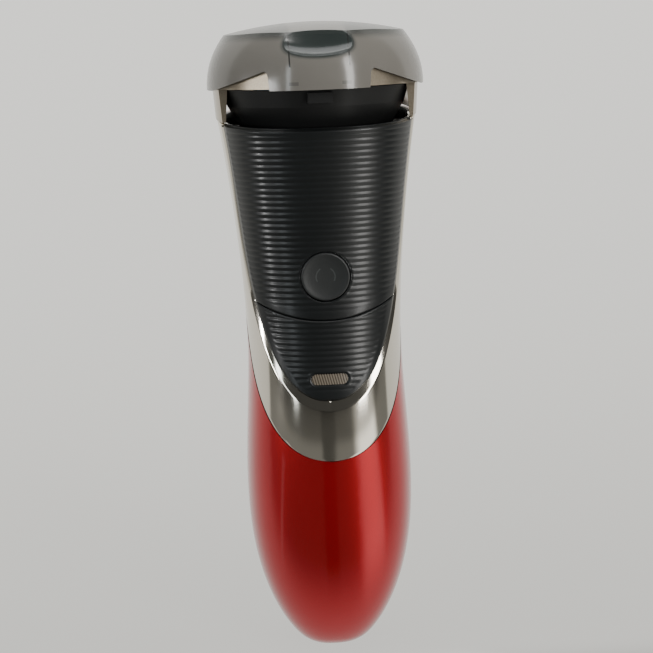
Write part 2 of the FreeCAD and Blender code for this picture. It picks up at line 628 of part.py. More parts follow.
def make_covers():
    """The outer covers: red shell, chrome trim and the two ribbed panels."""
    gap = val("seam_gap")
    top = val("shoulder_z") + TOP_REACH / 2
    outer = free_shape("body_form", form_solid(0.0, 0.0, top))
    hollow = free_shape("body_hollow", form_solid(val("shell_wall"), val("floor_wall"), top + 1))
    under = below_shoulder("under_shoulder")
    shell = common("shell", cut("open_shell", outer, hollow), under)

    # above trim_side_z the trim's outline is outside the handle, so the parting line y = 0 takes over there
    trim = (val("trim_tip_z"), val("trim_side_z"), TRIM_SHARE, TRIM_FLARE, TRIM_POWER, TRIM_ROUNDNESS)
    trim_void = u_outline("trim_void", *trim, gap, 0.0)
    trim_front = common("trim_front", shell, u_outline("trim_block", *trim, 0.0, -gap))

    panel_shape = (val("panel_tip_z"), val("panel_side_z"), val("panel_share"), 0.0, PANEL_POWER, PANEL_ROUNDNESS)
    panel_void = u_outline("panel_void", *panel_shape, gap, 5.0)
    panel_block = u_outline("panel_block", *panel_shape, 0.0, -gap)
    keep(cut("chrome_trim_cut", trim_front, panel_void), "chrome_trim")

    panel = common("panel_front", shell, panel_block)
    seam_low = seam_block("seam_low", -gap / 2)
    seam_high = seam_block("seam_high", gap / 2)
    button_hole = cylinder("button_hole", "button_radius + button_gap", THROUGH, y=-THROUGH, z="button_z", axis="y")
    keep(cut("upper_panel_cut", panel, seam_high, button_hole), "upper_front_panel")
    window_hole = slot_block("window_hole", 0.0)
    keep(cut("lower_panel_cut", common("lower_panel_blank", panel, seam_low), window_hole), "lower_front_panel")
    keep(common("charge_window_lens", shell, slot_block("window_plug", gap / 2)), "charge_window")
    return outer, shell, trim_void


def seam_block(name, lift):
    """Everything in front that lies under the curved seam between the two panels."""
    span, rise_at_end, middle = val("seam_span"), val("seam_rise"), val("seam_z") + lift
    reach = 2 * span
    points = [Vector(reach * i / 4, 0, middle + rise_at_end * (reach * i / 4 / span) ** 2) for i in range(-4, 5)]
    curve = Part.BSplineCurve()
    curve.interpolate(points)
    low = middle - FRONT_REACH
    ends = [Vector(reach, 0, low), Vector(-reach, 0, low)]
    corners = [points[-1], ends[0], ends[1], points[0]]
    lines = [Part.LineSegment(a, b).toShape() for a, b in zip(corners, corners[1:])]
    face = Part.Face(Part.Wire([curve.toShape()] + lines))
    return free_shape(name, face.extrude(Vector(0, -FRONT_REACH, 0)))


def slot_block(name, inset):
    """A pill-shaped block along Y for the charge window."""
    radius = val("window_height") / 2 - inset
    half = val("window_length") / 2 - val("window_height") / 2
    z = val("window_z")
    left, right = Vector(-half, 0, z), Vector(half, 0, z)
    up = Vector(0, 0, radius)
    edges = [
        Part.LineSegment(left + up, right + up).toShape(),
        Part.Arc(right + up, right + Vector(radius, 0, 0), right - up).toShape(),
        Part.LineSegment(right - up, left - up).toShape(),
        Part.Arc(left - up, left - Vector(radius, 0, 0), left + up).toShape(),
    ]
    return free_shape(name, Part.Face(Part.Wire(edges)).extrude(Vector(0, -FRONT_REACH, 0)))


def make_red_shell(outer, shell, trim_void):
    """The red shell with its openings for the trim, the trimmer, the slider, the grip and the charging socket,
    and the pieces that fill the grip."""
    low, high = val("grip_bottom_z") - GRIP_MARGIN, val("grip_top_z") + GRIP_MARGIN
    grip_inner = free_shape("grip_inner", form_solid(val("grip_thickness"), low, high))
    keep(cut("rear_grip_cut", common("grip_blank", outer, grip_block("grip_region", 0.0)), grip_inner), "rear_grip")
    grip_floor = free_shape("grip_floor", form_solid(val("grip_thickness") + val("running_gap"), low, high))
    grip_pocket = cut("grip_pocket", grip_block("grip_opening", val("seam_gap") / 2), grip_floor)
    bay = trimmer_room("trimmer_opening", "trimmer_half_width + seam_gap")
    slider_slot = box("slider_opening", "2 * (slider_half_width - slider_neck) + 2 * slot_play", THROUGH,
                      "slider_length + slider_travel - 2 * slider_step + 2 * slot_play", y=THROUGH / 2 + 5,
                      z="slider_z - slider_length / 2 + slider_step - slot_play")
    socket_hole = cut_oval("socket_hole", "socket_wall + seam_gap / 2", "floor_wall + 2", -1)
    bored = cut("bored_shell", shell, trim_void, grip_pocket, bay, slider_slot, socket_hole)
    limit = body_blank("boss_limit", val("shell_wall") / 2, val("shell_boss_z") - 1, val("deck_z") + 1)
    bosses = common("shell_bosses", fuse("boss_blanks", *shell_bosses()), limit)
    holes = [cylinder(f"shell_boss_hole_{i}", "screw_radius", THROUGH, x=x, y=y, z="shell_boss_z")
             for i, (x, y) in enumerate(CASE_SCREWS)]
    keep(cut("red_shell_cut", fuse("bossed_shell", bored, bosses), *holes), "red_shell")


def grip_block(name, grow):
    """A long oval block behind the handle, grown all round, that outlines the rear grip."""
    half = val("grip_half_width") + grow
    low, high = val("grip_bottom_z") - grow + half, val("grip_top_z") + grow - half
    edges = [
        Part.Arc(Vector(-half, 0, low), Vector(0, 0, low - half), Vector(half, 0, low)).toShape(),
        Part.LineSegment(Vector(half, 0, low), Vector(half, 0, high)).toShape(),
        Part.Arc(Vector(half, 0, high), Vector(0, 0, high + half), Vector(-half, 0, high)).toShape(),
        Part.LineSegment(Vector(-half, 0, high), Vector(-half, 0, low)).toShape(),
    ]
    return free_shape(name, Part.Face(Part.Wire(edges)).extrude(Vector(0, FRONT_REACH, 0)))


def cut_oval(name, grow, height, z):
    """An upright rounded block on the axis of the charging socket: a box between two cylinders."""
    half_width_text = f"socket_half_width + {grow}"
    half_depth_text = f"socket_half_depth + {grow}"
    side = f"({half_width_text}) - ({half_depth_text})"
    middle = box(name + "_middle", f"2 * ({side})", f"2 * ({half_depth_text})", height, z=z)
    left = cylinder(name + "_left", half_depth_text, height, x=f"-({side})", z=z)
    right = cylinder(name + "_right", half_depth_text, height, x=side, z=z)
    return fuse(name, middle, left, right)


# ---------------------------------------------------------------- shared places

def head_spot(index):
    """The centre of a head, as a pair of expressions."""
    angle = HEAD_ANGLES[index]
    return f"{SPREAD} * cos({angle} deg)", f"head_y + {SPREAD} * sin({angle} deg)"


def spun(obj, degrees):
    """Turns an object about its own Z axis."""
    obj.Placement = Placement(Vector(), Rotation(Vector(0, 0, 1), degrees))
    return obj


def body_blank(name, inset, bottom, top):
    """The handle's form between two heights, taken in by inset, as a document object."""
    return free_shape(name, form_solid(inset, bottom, top))


def shell_bosses():
    """The screw bosses inside the red shell, each with a rib that joins it to the wall."""
    shapes = []
    for i, (x, y) in enumerate(CASE_SCREWS):
        height = "deck_z - shell_boss_z"
        side = 1 if i == 0 else -1
        reach = "(shoulder_half_width - case_screw_x)"
        shapes.append(cylinder(f"shell_boss_{i}", "shell_boss_radius", height, x=x, y=y, z="shell_boss_z"))
        shapes.append(box(f"shell_rib_{i}", reach, "shell_rib", height, x=f"{x} + {side} * {reach} / 2", y=y,
                          z="shell_boss_z"))
    return shapes


def trimmer_room(name, half):
    """The room that the trimmer needs: a box under its pivot, a round top about it and a relief for the open cover."""
    width = f"2 * ({half})"
    radius = f"{TRIMMER_REACH} + part_gap"
    middle = "trimmer_floor_y + bay_depth / 2"
    under = box(name + "_low", width, "bay_depth", "trimmer_pivot_z - trimmer_bottom_z + part_gap",
                y=middle, z="trimmer_bottom_z - part_gap")
    above = cylinder(name + "_high", radius, width, x=f"-({half})", y="trimmer_pivot_y", z="trimmer_pivot_z", axis="x")
    relief = box(name + "_relief", width, "bay_depth", "trimmer_relief", y=middle, z="trimmer_pivot_z")
    behind = box(name + "_limit", width, "bay_depth", 2 * THROUGH, y=middle, z=f"trimmer_pivot_z - {THROUGH}")
    return common(name, fuse(name + "_both", under, above, relief), behind)


# ---------------------------------------------------------------- chassis, battery and board

def make_chassis():
    """The inner frame with its cradles, the battery cell and its tabs."""
    spine = box("spine", "board_width", "chassis_thickness", "gearbox_z - board_z",
                y=f"{SPINE_FRONT} + chassis_thickness / 2", z="board_z")
    pieces = [spine]
    for i, z in enumerate(("cell_z + lower_ring_rise", "cell_z + cell_length - upper_ring_drop")):
        ring = cylinder(f"cell_ring_{i}", "cell_radius + running_gap + cradle_wall", "cradle_height", y="cell_y", z=z)
        web = box(f"cell_web_{i}", "web_width", f"cell_y - {SPINE_BACK}", "cradle_height",
                  y=f"(cell_y + {SPINE_BACK}) / 2", z=z)
        pieces += [ring, web]
    motor_ring = cylinder("motor_ring", "motor_radius + running_gap + cradle_wall", "cradle_height",
                          y="head_y", z=MOTOR_RING_Z)
    motor_web = box("motor_web", "motor_web_width", f"head_y - {SPINE_BACK}", "cradle_height",
                    y=f"(head_y + {SPINE_BACK}) / 2", z=MOTOR_RING_Z)
    shelf = box("cell_shelf", "shelf_width", f"cell_y + shelf_reach - {SPINE_BACK}", "shelf_thickness",
                y=f"(cell_y + shelf_reach + {SPINE_BACK}) / 2", z="cell_z - tab_thickness - shelf_thickness")
    solid = fuse("chassis_blank", *pieces, motor_ring, motor_web, shelf)
    cell_bore = cylinder("cell_bore", "cell_radius + running_gap", "cell_length + 1", y="cell_y", z="cell_z")
    motor_bore = cylinder("motor_bore", "motor_radius + running_gap", THROUGH, y="head_y",
                          z=f"{MOTOR_RING_Z} - {THROUGH} / 3")
    open_back = box("cradle_opening", 2 * THROUGH, "motor_radius", THROUGH,
                    y="head_y + motor_radius * 1.5 + cradle_opening - 5", z=f"{MOTOR_RING_Z} - {THROUGH} / 3")
    window = box("lead_window", "lead_window_width", "4 * chassis_thickness", "lead_window_height",
                 y=SPINE_FRONT, z=f"{LEAD_Z} - lead_window_height / 2")
    notch = box("tab_notch", "tab_width + 2 * tab_slack", "chassis_thickness + 2 * tab_slack",
                "tab_thickness + tab_slack", y=f"{SPINE_FRONT} + chassis_thickness / 2",
                z="cell_z - tab_thickness - tab_slack / 2")
    keep(cut("inner_frame_cut", solid, cell_bore, motor_bore, open_back, window, notch), "inner_frame")

    rim, crimp = "cell_radius - cell_crimp", "cell_length - cell_crimp_height"
    keep(turned("battery_cell", [
        ("0", "0"), ("cell_radius", "0"), ("cell_radius", crimp), (rim, crimp),
        (rim, "cell_length - cell_pole_height"), ("cell_pole", "cell_length - cell_pole_height"),
        ("cell_pole", "cell_length"), ("0", "cell_length")], y="cell_y", z="cell_z"), "battery_cell")
    tabs = [box(f"tab_{name}", "tab_width", f"cell_y + tab_reach - {front}", "tab_thickness",
                y=f"(cell_y + tab_reach + {front}) / 2", z=z)
            for name, front, z in (("low", SPINE_FRONT, "cell_z - tab_thickness"),
                                   ("high", SPINE_BACK, "cell_z + cell_length"))]
    keep(fuse("battery_tabs_pair", *tabs), "battery_tabs")


def make_board():
    """The circuit board with its switch, light, light guide and the larger components."""
    keep(box("circuit_board_plate", "board_width", "board_thickness", "board_length",
             y="board_y + board_thickness / 2", z="board_z"), "circuit_board")
    case = box("switch_case", "switch_width", "switch_height", "switch_width",
               y="board_y - switch_height / 2", z="button_z - switch_width / 2")
    plunger = cylinder("switch_plunger", "switch_plunger_radius", "switch_plunger",
                       y="board_y - switch_height - switch_plunger", z="button_z", axis="y")
    keep(fuse("tact_switch_parts", case, plunger), "tact_switch")
    keep(box("led_body", "light_width", "light_depth", "light_height", y="board_y - light_depth / 2",
             z="window_z - light_height / 2"), "charge_led")
    inner = front_depth(val("window_z")) - val("shell_wall")
    guide_length = f"({inner:.3f} + board_y - light_depth - 2 * part_gap)"
    keep(box("guide_block", "guide_width", guide_length, "guide_height",
             y=f"board_y - light_depth - part_gap - {guide_length} / 2", z="window_z - guide_height / 2"),
         "light_guide")
    chips = [
        box("controller_chip", "controller_size", "chip_depth", "controller_size",
            y="board_y - chip_depth / 2", z="board_z + controller_rise"),
        box("charger_chip", "charger_width", "charger_depth", "charger_height", x="charger_x",
            y="board_y - charger_depth / 2", z="board_z + charger_rise"),
        cylinder("coil", "coil_radius", "coil_depth", x="coil_x", y="board_y - coil_depth",
                 z="board_z + coil_rise", axis="y"),
        box("motor_driver", "driver_size", "chip_depth", "driver_size", x="driver_x",
            y="board_y - chip_depth / 2", z="board_z + driver_rise"),
    ]
    keep(fuse("component_group", *chips), "board_components")


def make_socket():
    """The charging socket in the end face, with its two contacts."""
    outer = cut_oval("socket_outer", "socket_wall", "socket_depth + socket_wall", 0)
    opening = cut_oval("socket_opening", "0", "socket_depth", 0)
    bores = [cylinder(f"contact_bore_{i}", "contact_radius", THROUGH, x=f"{side} * contact_spacing / 2")
             for i, side in enumerate((-1, 1))]
    keep(cut("charging_socket_cut", outer, opening, *bores), "charging_socket")
    pins = [cylinder(f"contact_{i}", "contact_radius", "socket_depth + socket_wall + contact_tail - contact_z",
                     x=f"{side} * contact_spacing / 2", z="contact_z") for i, side in enumerate((-1, 1))]
    keep(fuse("contact_pair", *pins), "charging_contacts")


def rod(radius, start, end):
    """A straight round rod between two points."""
    return Part.makeCylinder(radius, (end - start).Length, start, end - start)


def make_leads():
    """The insulated leads from the motor's terminals and from the charging contacts to the board."""
    board_back = val("board_y") + val("board_thickness")
    lead_z = (val("gearbox_z") - val("motor_length") - val("end_cap_height") - val("terminal_length")
              + val("lead_overlap"))
    contact_top = val("socket_depth") + val("socket_wall") + val("contact_tail") + val("lead_gap")
    rods = []
    for side in (-1, 1):
        x = side * val("terminal_spread")
        rods.append(rod(val("lead_radius"), Vector(x, val("head_y"), lead_z), Vector(x, board_back, lead_z)))
        x = side * val("contact_spacing") / 2
        pad = Vector(x, board_back - val("board_thickness") / 2, val("board_z") - val("pad_drop"))
        rods.append(rod(val("lead_radius"), Vector(x, 0, contact_top), pad))
    keep(free_shape("lead_group", Part.makeCompound(rods)), "internal_leads")


# ---------------------------------------------------------------- motor and gear train

def make_motor():
    """The motor: can, magnets, end cap, terminals, rotor, shaft and pinion."""
    inside, bore = "motor_radius - motor_wall", "motor_shaft_radius + running_gap"
    lid, boss_top = "motor_length - motor_wall", "motor_length + gearbox_thickness - end_play"
    socket = "motor_length - bearing_depth"
    can = turned("motor_can_turned", [
        (inside, "0"), ("motor_radius", "0"), ("motor_radius", "motor_length"), ("boss_radius", "motor_length"),
        ("boss_radius", boss_top), (bore, boss_top), (bore, socket), ("boss_radius", socket), ("boss_radius", lid),
        (inside, lid)], y="head_y", z=MOTOR_Z)
    threads = [cylinder(f"motor_thread_{i}", "motor_screw", THROUGH, x=x, y=y, z=f"gearbox_z - {THROUGH} / 6")
               for i, (x, y) in enumerate(motor_screw_spots())]
    keep(cut("motor_can_tapped", can, *threads), "motor_can")

    outer, length = f"{inside} - running_gap", "motor_length - 9"
    magnet_z = f"{MOTOR_Z} + end_cap_height + 1"
    tube = cut("magnet_tube", cylinder("magnet_outer", outer, length, y="head_y", z=magnet_z),
               cylinder("magnet_inner", f"{outer} - magnet_thickness", length, y="head_y", z=magnet_z))
    keep(cut("magnet_pair", tube, box("magnet_gaps", "magnet_slit", THROUGH, length, y="head_y", z=magnet_z)),
         "motor_magnets")

    rim = "motor_radius - 0.4"
    keep(turned("motor_end_cap", [
        (bore, "0"), ("boss_radius", "0"), ("boss_radius", "1"), (rim, "1"), (rim, "end_cap_height"),
        (outer, "end_cap_height"), (outer, "end_cap_height + 1"), (bore, "end_cap_height + 1")],
        y="head_y", z=f"{MOTOR_Z} - end_cap_height"), "motor_end_cap")

    blades = [box(f"terminal_{i}", "terminal_width", "terminal_thickness", "terminal_length + 1",
                  x=f"{side} * terminal_spread", y="head_y + lead_radius + terminal_thickness / 2",
                  z=f"{MOTOR_Z} - end_cap_height - terminal_length") for i, side in enumerate((-1, 1))]
    keep(fuse("terminal_pair", *blades), "motor_terminals")

    shaft_length = f"gear_z + gear_height + 0.2 - ({MOTOR_Z} - bearing_depth)"
    keep(turned("motor_shaft", [
        ("0", "0"), ("motor_shaft_radius", "0"), ("motor_shaft_radius", shaft_length), ("0", shaft_length)],
        y="head_y", z=f"{MOTOR_Z} - bearing_depth"), "motor_shaft")

    core = padded("rotor_core", "XY_Plane", draw_rotor_core, f"{length} - 2", y="head_y",
                  z=f"{MOTOR_Z} + rotor_inset")
    slot = new_sketch(core, "XY_Plane", "rotor_slot")
    tip, side = "rotor_radius + 1", "rotor_slot / 2"
    polygon(slot, [("rotor_hub", f"-{side}"), (tip, f"-{side}"), (tip, side), ("rotor_hub", side)])
    cut_slots(core, slot, ROTOR_SLOTS, "rotor_slots")
    keep(core, "rotor_core")


def cut_slots(body, sketch, count, name):
    """Cuts a sketched slot right through a body and repeats it round the axis."""
    pocket = body.newObject("PartDesign::Pocket", name + "_cut")
    pocket.Profile = sketch
    pocket.Type = 1
    pocket.Reversed = True
    ring_of(body, pocket, sketch, count, name)


def motor_screw_spots():
    """The places of the motor screws, between the gears."""
    return [(f"motor_screw_circle * cos({a + 180} deg)", f"head_y + motor_screw_circle * sin({a + 180} deg)")
            for a in HEAD_ANGLES]


def draw_rotor_core(sketch):
    """Section of the rotor's core: a disc with the shaft's bore."""
    circle(sketch, "rotor_radius")
    circle(sketch, "motor_shaft_radius")


def ring_of(body, feature, sketch, count, name):
    """Repeats a PartDesign feature round the normal of its sketch."""
    pattern = body.newObject("PartDesign::PolarPattern", name)
    pattern.Originals = [feature]
    pattern.Axis = (sketch, ["N_Axis"])
    pattern.Angle = 360
    pattern.Occurrences = count
    body.Tip = pattern
    return pattern


def spur_gear(name, teeth, bore, degrees, x, y):
    """A spur gear with straight-flanked teeth: a disc, one tooth and its pattern."""
    pitch = f"({teeth} * gear_module / 2)"
    half = "(pi * gear_module / 2 - gear_backlash / 2) / 2"

    def draw_disc(sketch):
        circle(sketch, f"{pitch} - tooth_dedendum")
        circle(sketch, bore)

    body = padded(name, "XY_Plane", draw_disc, "gear_height", x, y, "gear_z")
    root = "0.5 * tooth_dedendum + 0.5"
    wide = f"{half} + ({root}) * tan(tooth_flank * 1 deg)"
    narrow = f"{half} - tooth_addendum * tan(tooth_flank * 1 deg)"
    tooth = new_sketch(body, "XY_Plane", name + "_tooth")
    polygon(tooth, [(f"{pitch} - ({root})", f"-({wide})"), (f"{pitch} + tooth_addendum", f"-({narrow})"),
                    (f"{pitch} + tooth_addendum", narrow), (f"{pitch} - ({root})", wide)])
    pad = body.newObject("PartDesign::Pad", name + "_tooth_pad")
    pad.Profile = tooth
    bind(pad, Length="gear_height")
    ring_of(body, pad, tooth, int(val(teeth)), name + "_teeth")
    spun(body, degrees)
    return place(body, x, y, "gear_z")


def make_gears():
    """The pinion on the motor shaft and the three drive gears with their spindles."""
    keep(spur_gear("drive_pinion", "pinion_teeth", "motor_shaft_radius", 0, "0", "head_y"), "drive_pinion")
    ratio = val("pinion_teeth") / val("gear_teeth")
    for i, angle in enumerate(HEAD_ANGLES):
        x, y = head_spot(i)
        mesh = angle + 180 + angle * ratio - 180 / val("gear_teeth")
        gear = spur_gear(f"drive_gear_{i + 1}", "gear_teeth", "axle_radius + running_gap", mesh, x, y)
        keep(gear, f"drive_gear_{i + 1}")
        base, bore = "gear_z + gear_height", "axle_radius + running_gap"
        top = f"spindle_top_z - ({base})"
        shaft = turned(f"spindle_shaft_{i + 1}", [
            (bore, "0"), ("spindle_flange", "0"), ("spindle_flange", "flange_thickness"),
            ("spindle_radius", "flange_thickness"), ("spindle_radius", top), ("0", top),
            ("0", f"{top} - spindle_end"), (bore, f"{top} - spindle_end")], x, y, base)
        foot, height = "spindle_top_z - flange_thickness", "spindle_blade_height + flange_thickness"
        blade = box(f"spindle_blade_{i + 1}", "spindle_blade_length", "spindle_blade_width", height, x, y, foot)
        round_blade = cylinder(f"spindle_round_{i + 1}", "spindle_blade_length / 2", height, x, y, foot)
        tongue = common(f"spindle_tongue_{i + 1}", blade, round_blade)
        keep(fuse(f"drive_spindle_{i + 1}_parts", shaft, tongue), f"drive_spindle_{i + 1}")


def make_gearbox():
    """The plate above the motor with its posts, the gear axles and the motor screws."""
    plate = body_blank("gearbox_blank", val("shell_wall") + val("seam_gap"), val("gearbox_z"),
                       val("gearbox_z") + val("gearbox_thickness"))
    posts = [cylinder(f"deck_post_{i}", "post_radius", "deck_z - gearbox_z", x=x, y=y, z="gearbox_z")
             for i, (x, y) in enumerate(POST_SCREWS)]
    spots = [head_spot(i) for i in range(3)]
    bosses = [cylinder(f"axle_boss_{i}", "axle_radius + axle_boss", "gear_z - part_gap - gearbox_z",
                       x=x, y=y, z="gearbox_z") for i, (x, y) in enumerate(spots)]
    below = f"gearbox_z - {THROUGH} / 6"
    holes = [cylinder(f"axle_hole_{i}", "axle_radius", THROUGH, x=x, y=y, z=below)
             for i, (x, y) in enumerate(spots)]
    holes += [cylinder(f"post_hole_{i}", "screw_radius", THROUGH, x=x, y=y, z="gearbox_z + 1")
              for i, (x, y) in enumerate(POST_SCREWS)]
    holes.append(cylinder("motor_boss_hole", "boss_radius", THROUGH, y="head_y", z=below))
    holes += [cylinder(f"motor_screw_hole_{i}", "motor_screw", THROUGH, x=x, y=y, z=below)
              for i, (x, y) in enumerate(motor_screw_spots())]
    for i, (x, y) in enumerate(CASE_SCREWS):
        side = 1 if i == 0 else -1
        holes.append(cylinder(f"boss_notch_{i}", "shell_boss_radius + part_gap", THROUGH, x=x, y=y, z=below))
        holes.append(box(f"rib_notch_{i}", "4 * spindle_end", "shell_rib + 2 * part_gap", THROUGH,
                         x=f"{x} + {side} * 2 * spindle_end", y=y, z=below))
    keep(cut("gearbox_plate_cut", fuse("gearbox_solid", plate, *posts, *bosses), *holes), "gearbox_plate")

    axles = [cylinder(f"gear_axle_{i}", "axle_radius", "spindle_top_z - spindle_end - end_play - gearbox_z",
                      x=x, y=y, z="gearbox_z") for i, (x, y) in enumerate(spots)]
    keep(fuse("axle_group", *axles), "gear_axles")
    screws = [screw(f"motor_screw_{i}", "motor_screw", "motor_screw_head", "motor_screw_head_height",
                    "gearbox_thickness + motor_wall", x, y, "gearbox_z + gearbox_thickness")
              for i, (x, y) in enumerate(motor_screw_spots())]
    keep(fuse("motor_screw_group", *screws), "motor_screws")


def screw(name, radius, head_radius, head_height, length, x, y, z):
    """A screw pointing down: its head stands on z."""
    head = cylinder(name + "_head", head_radius, head_height, x=x, y=y, z=z)
    shank = cylinder(name + "_shank", radius, length, x=x, y=y, z=f"{z} - ({length})")
    slot = box(name + "_slot", f"2 * ({head_radius}) + 1", "screw_slot", head_height, x=x, y=y,
               z=f"{z} + {head_height} / 2")
    return cut(name, fuse(name + "_blank", head, shank), slot)


def make_deck():
    """The top deck that closes the handle, and the five screws that hold it."""
    plate = body_blank("deck_blank", val("shell_wall") + val("seam_gap"), val("deck_z"),
                       val("deck_z") + val("deck_thickness"))
    spots, below = POST_SCREWS + CASE_SCREWS, f"deck_z - {THROUGH} / 6"
    seat = f"{DECK_TOP} - screw_head_height"
    holes = [cylinder(f"deck_hole_{i}", "screw_radius", THROUGH, x=x, y=y, z=below)
             for i, (x, y) in enumerate(spots)]
    holes += [cylinder(f"deck_sink_{i}", f"screw_head_radius + {FIT_CUT}", THROUGH, x=x, y=y, z=seat)
              for i, (x, y) in enumerate(spots)]
    for i in range(3):
        x, y = head_spot(i)
        holes.append(cylinder(f"deck_spindle_hole_{i}", "spindle_radius + part_gap", THROUGH, x=x, y=y, z=below))
    keep(cut("top_deck_cut", plate, *holes), "top_deck")
    screws = [screw(f"deck_screw_{i}", "screw_radius", "screw_head_radius", "screw_head_height", "screw_length",
                    x, y, seat) for i, (x, y) in enumerate(spots)]
    keep(fuse("deck_screw_group", *screws), "deck_screws")


# ---------------------------------------------------------------- hair chamber, head frame, holder and heads

def head_outline(z, inset, lobe=None):
    """The outline of the head unit at height z, taken in by inset."""
    return outline_wire(val("frame_half_width") - inset, val("frame_front") - inset, val("frame_back") - inset, z,
                        val("lobe") if lobe is None else lobe, val("lobe_half_width"))


def head_loft(stations, lobe=None):
    """A solid through outlines of the head unit, given as (height, inset) pairs."""
    return Part.makeLoft([head_outline(z, inset, lobe) for z, inset in stations], True, True)


def make_hair_chamber():
    """The bowl that collects the hair, with the hinge lug behind, the catch in front and the spindle seals."""
    floor_z = val("deck_z") + val("deck_thickness")
    wall = val("bowl_wall")
    stations = [(floor_z, val("bowl_floor_inset")), (val("bowl_neck_z"), val("bowl_neck_inset")),
                (val("bowl_top_z"), val("bowl_inset"))]
    outer = free_shape("bowl_outer", head_loft(stations))
    inner_stations = [(floor_z + val("bowl_floor"), val("bowl_floor_inset") - 1.0 + wall),
                      (val("bowl_neck_z"), val("bowl_neck_inset") + wall),
                      (val("bowl_top_z") + 1, val("bowl_inset") + wall - 0.5)]
    inner = free_shape("bowl_inner", head_loft(inner_stations))
    lug_bar = cylinder("bowl_lug_bar", "knuckle_radius", "lug_width", x="-lug_width / 2",
                       y="head_pivot_y", z="head_pivot_z", axis="x")
    lug_root = box("bowl_lug_root", "lug_width", "lug_root", "2 * knuckle_radius",
                   y="head_pivot_y - lug_root / 2", z="head_pivot_z - knuckle_radius")
    catch = box("bowl_catch", "catch_width", "catch_depth", "catch_height",
                y="-(frame_front + lobe - bowl_inset) + 0.3 * catch_depth", z="bowl_top_z - catch_height - 0.8")
    solid = cut("bowl_solid", fuse("bowl_with_lug", outer, lug_bar, lug_root, catch), inner)
    holes = [cylinder("bowl_pin_hole", "hinge_pin_radius", THROUGH, x=-THROUGH / 2, y="head_pivot_y",
                      z="head_pivot_z", axis="x")]
    for i in range(3):
        x, y = head_spot(i)
        holes.append(cylinder(f"bowl_spindle_hole_{i}", "spindle_radius + part_gap", THROUGH, x=x, y=y, z="deck_z"))
    keep(cut("hair_chamber_cut", solid, *holes), "hair_chamber")

    seals, lip = [], f"spindle_radius + {FIT_CUT}"
    for i in range(3):
        x, y = head_spot(i)
        seals.append(turned(f"spindle_seal_{i}", [
            (lip, "0"), (f"{lip} + seal_width", "0"), (f"{lip} + 0.6 * seal_width", "seal_height"),
            (lip, "seal_height")], x, y, f"{DECK_TOP} + bowl_floor"))
    keep(fuse("seal_group", *seals), "spindle_seals")
    keep(cylinder("head_hinge_rod", "hinge_pin_radius", PIN_LENGTH, x=f"-{PIN_LENGTH} / 2",
                  y="head_pivot_y", z="head_pivot_z", axis="x"), "head_hinge_pin")


def make_head_frame():
    """The frame that carries the heads, with its two ears and the hinge knuckles, and the holder plate inside."""
    low, high = val("frame_z"), val("frame_z") + val("frame_height")
    taper, wall, ledge = val("frame_taper"), val("frame_wall"), val("frame_ledge")
    outer = free_shape("frame_outer", head_loft([(low, 0.0), (high, taper)]))
    holder_low = val("holder_z")
    inner = free_shape("frame_inner", head_loft([(holder_low, wall), (high + 1, wall + taper)]))
    opening = free_shape("frame_opening", head_loft([(low - 1, wall + ledge), (holder_low + 1, wall + ledge)]))

    tip = val("shoulder_z") - 1.0
    grow = val("frame_half_width") - val("shoulder_half_width") - 0.2
    ear_outer = free_shape("ear_outer", head_loft([(tip, grow), (low + 0.2, 0.0)], 0.0))
    ear_inner = free_shape("ear_inner", head_loft([(tip - 0.01, grow + val("ear_tip")),
                                                   (low + 0.21, val("ear_top"))], 0.0))
    side_block = box("ear_block", "4 * frame_half_width", "2 * ear_half_depth", THROUGH, z=tip)
    middle_block = box("ear_middle", "1.4 * frame_half_width", 2 * THROUGH, 2 * THROUGH, z=tip - THROUGH)
    ears = cut("ears", common("ear_blank", cut("ear_ring", ear_outer, ear_inner), side_block), middle_block,
               below_shoulder("shoulder_clearance", val("part_gap")))

    knuckles = []
    bore = cylinder("frame_pin_bore", "hinge_pin_radius + running_gap", THROUGH, x=-THROUGH / 2,
                    y="head_pivot_y", z="head_pivot_z", axis="x")
    for i, side in enumerate((-1, 1)):
        centre = f"{side} * (lug_width / 2 + part_gap + knuckle_width / 2)"
        knuckles.append(cylinder(f"knuckle_{i}", "knuckle_radius", "knuckle_width",
                                 x=f"{centre} - knuckle_width / 2", y="head_pivot_y", z="head_pivot_z", axis="x"))
        knuckles.append(box(f"knuckle_web_{i}", "knuckle_width", "knuckle_web", "frame_z + 0.5 - head_pivot_z",
                            x=centre, y="head_pivot_y - 0.7 * knuckle_web", z="head_pivot_z"))
    ring = cut("frame_ring", outer, inner, opening)
    keep(cut("head_frame_cut", fuse("frame_solid", ring, ears, *knuckles), bore), "head_frame")

    gap = val("seam_gap")
    share = (val("holder_z") - low) / (high - low) * taper
    plate = free_shape("holder_blank", head_loft([
        (holder_low, wall + gap + share), (holder_low + val("holder_height"), wall + gap + share + 0.25)]))
    holes = []
    for i in range(3):
        x, y = head_spot(i)
        holes.append(cylinder(f"holder_hole_{i}", "ring_skirt + skirt_play", THROUGH, x=x, y=y,
                              z=f"holder_z - {THROUGH} / 6"))
    keep(cut("head_holder_cut", plate, *holes), "head_holder")


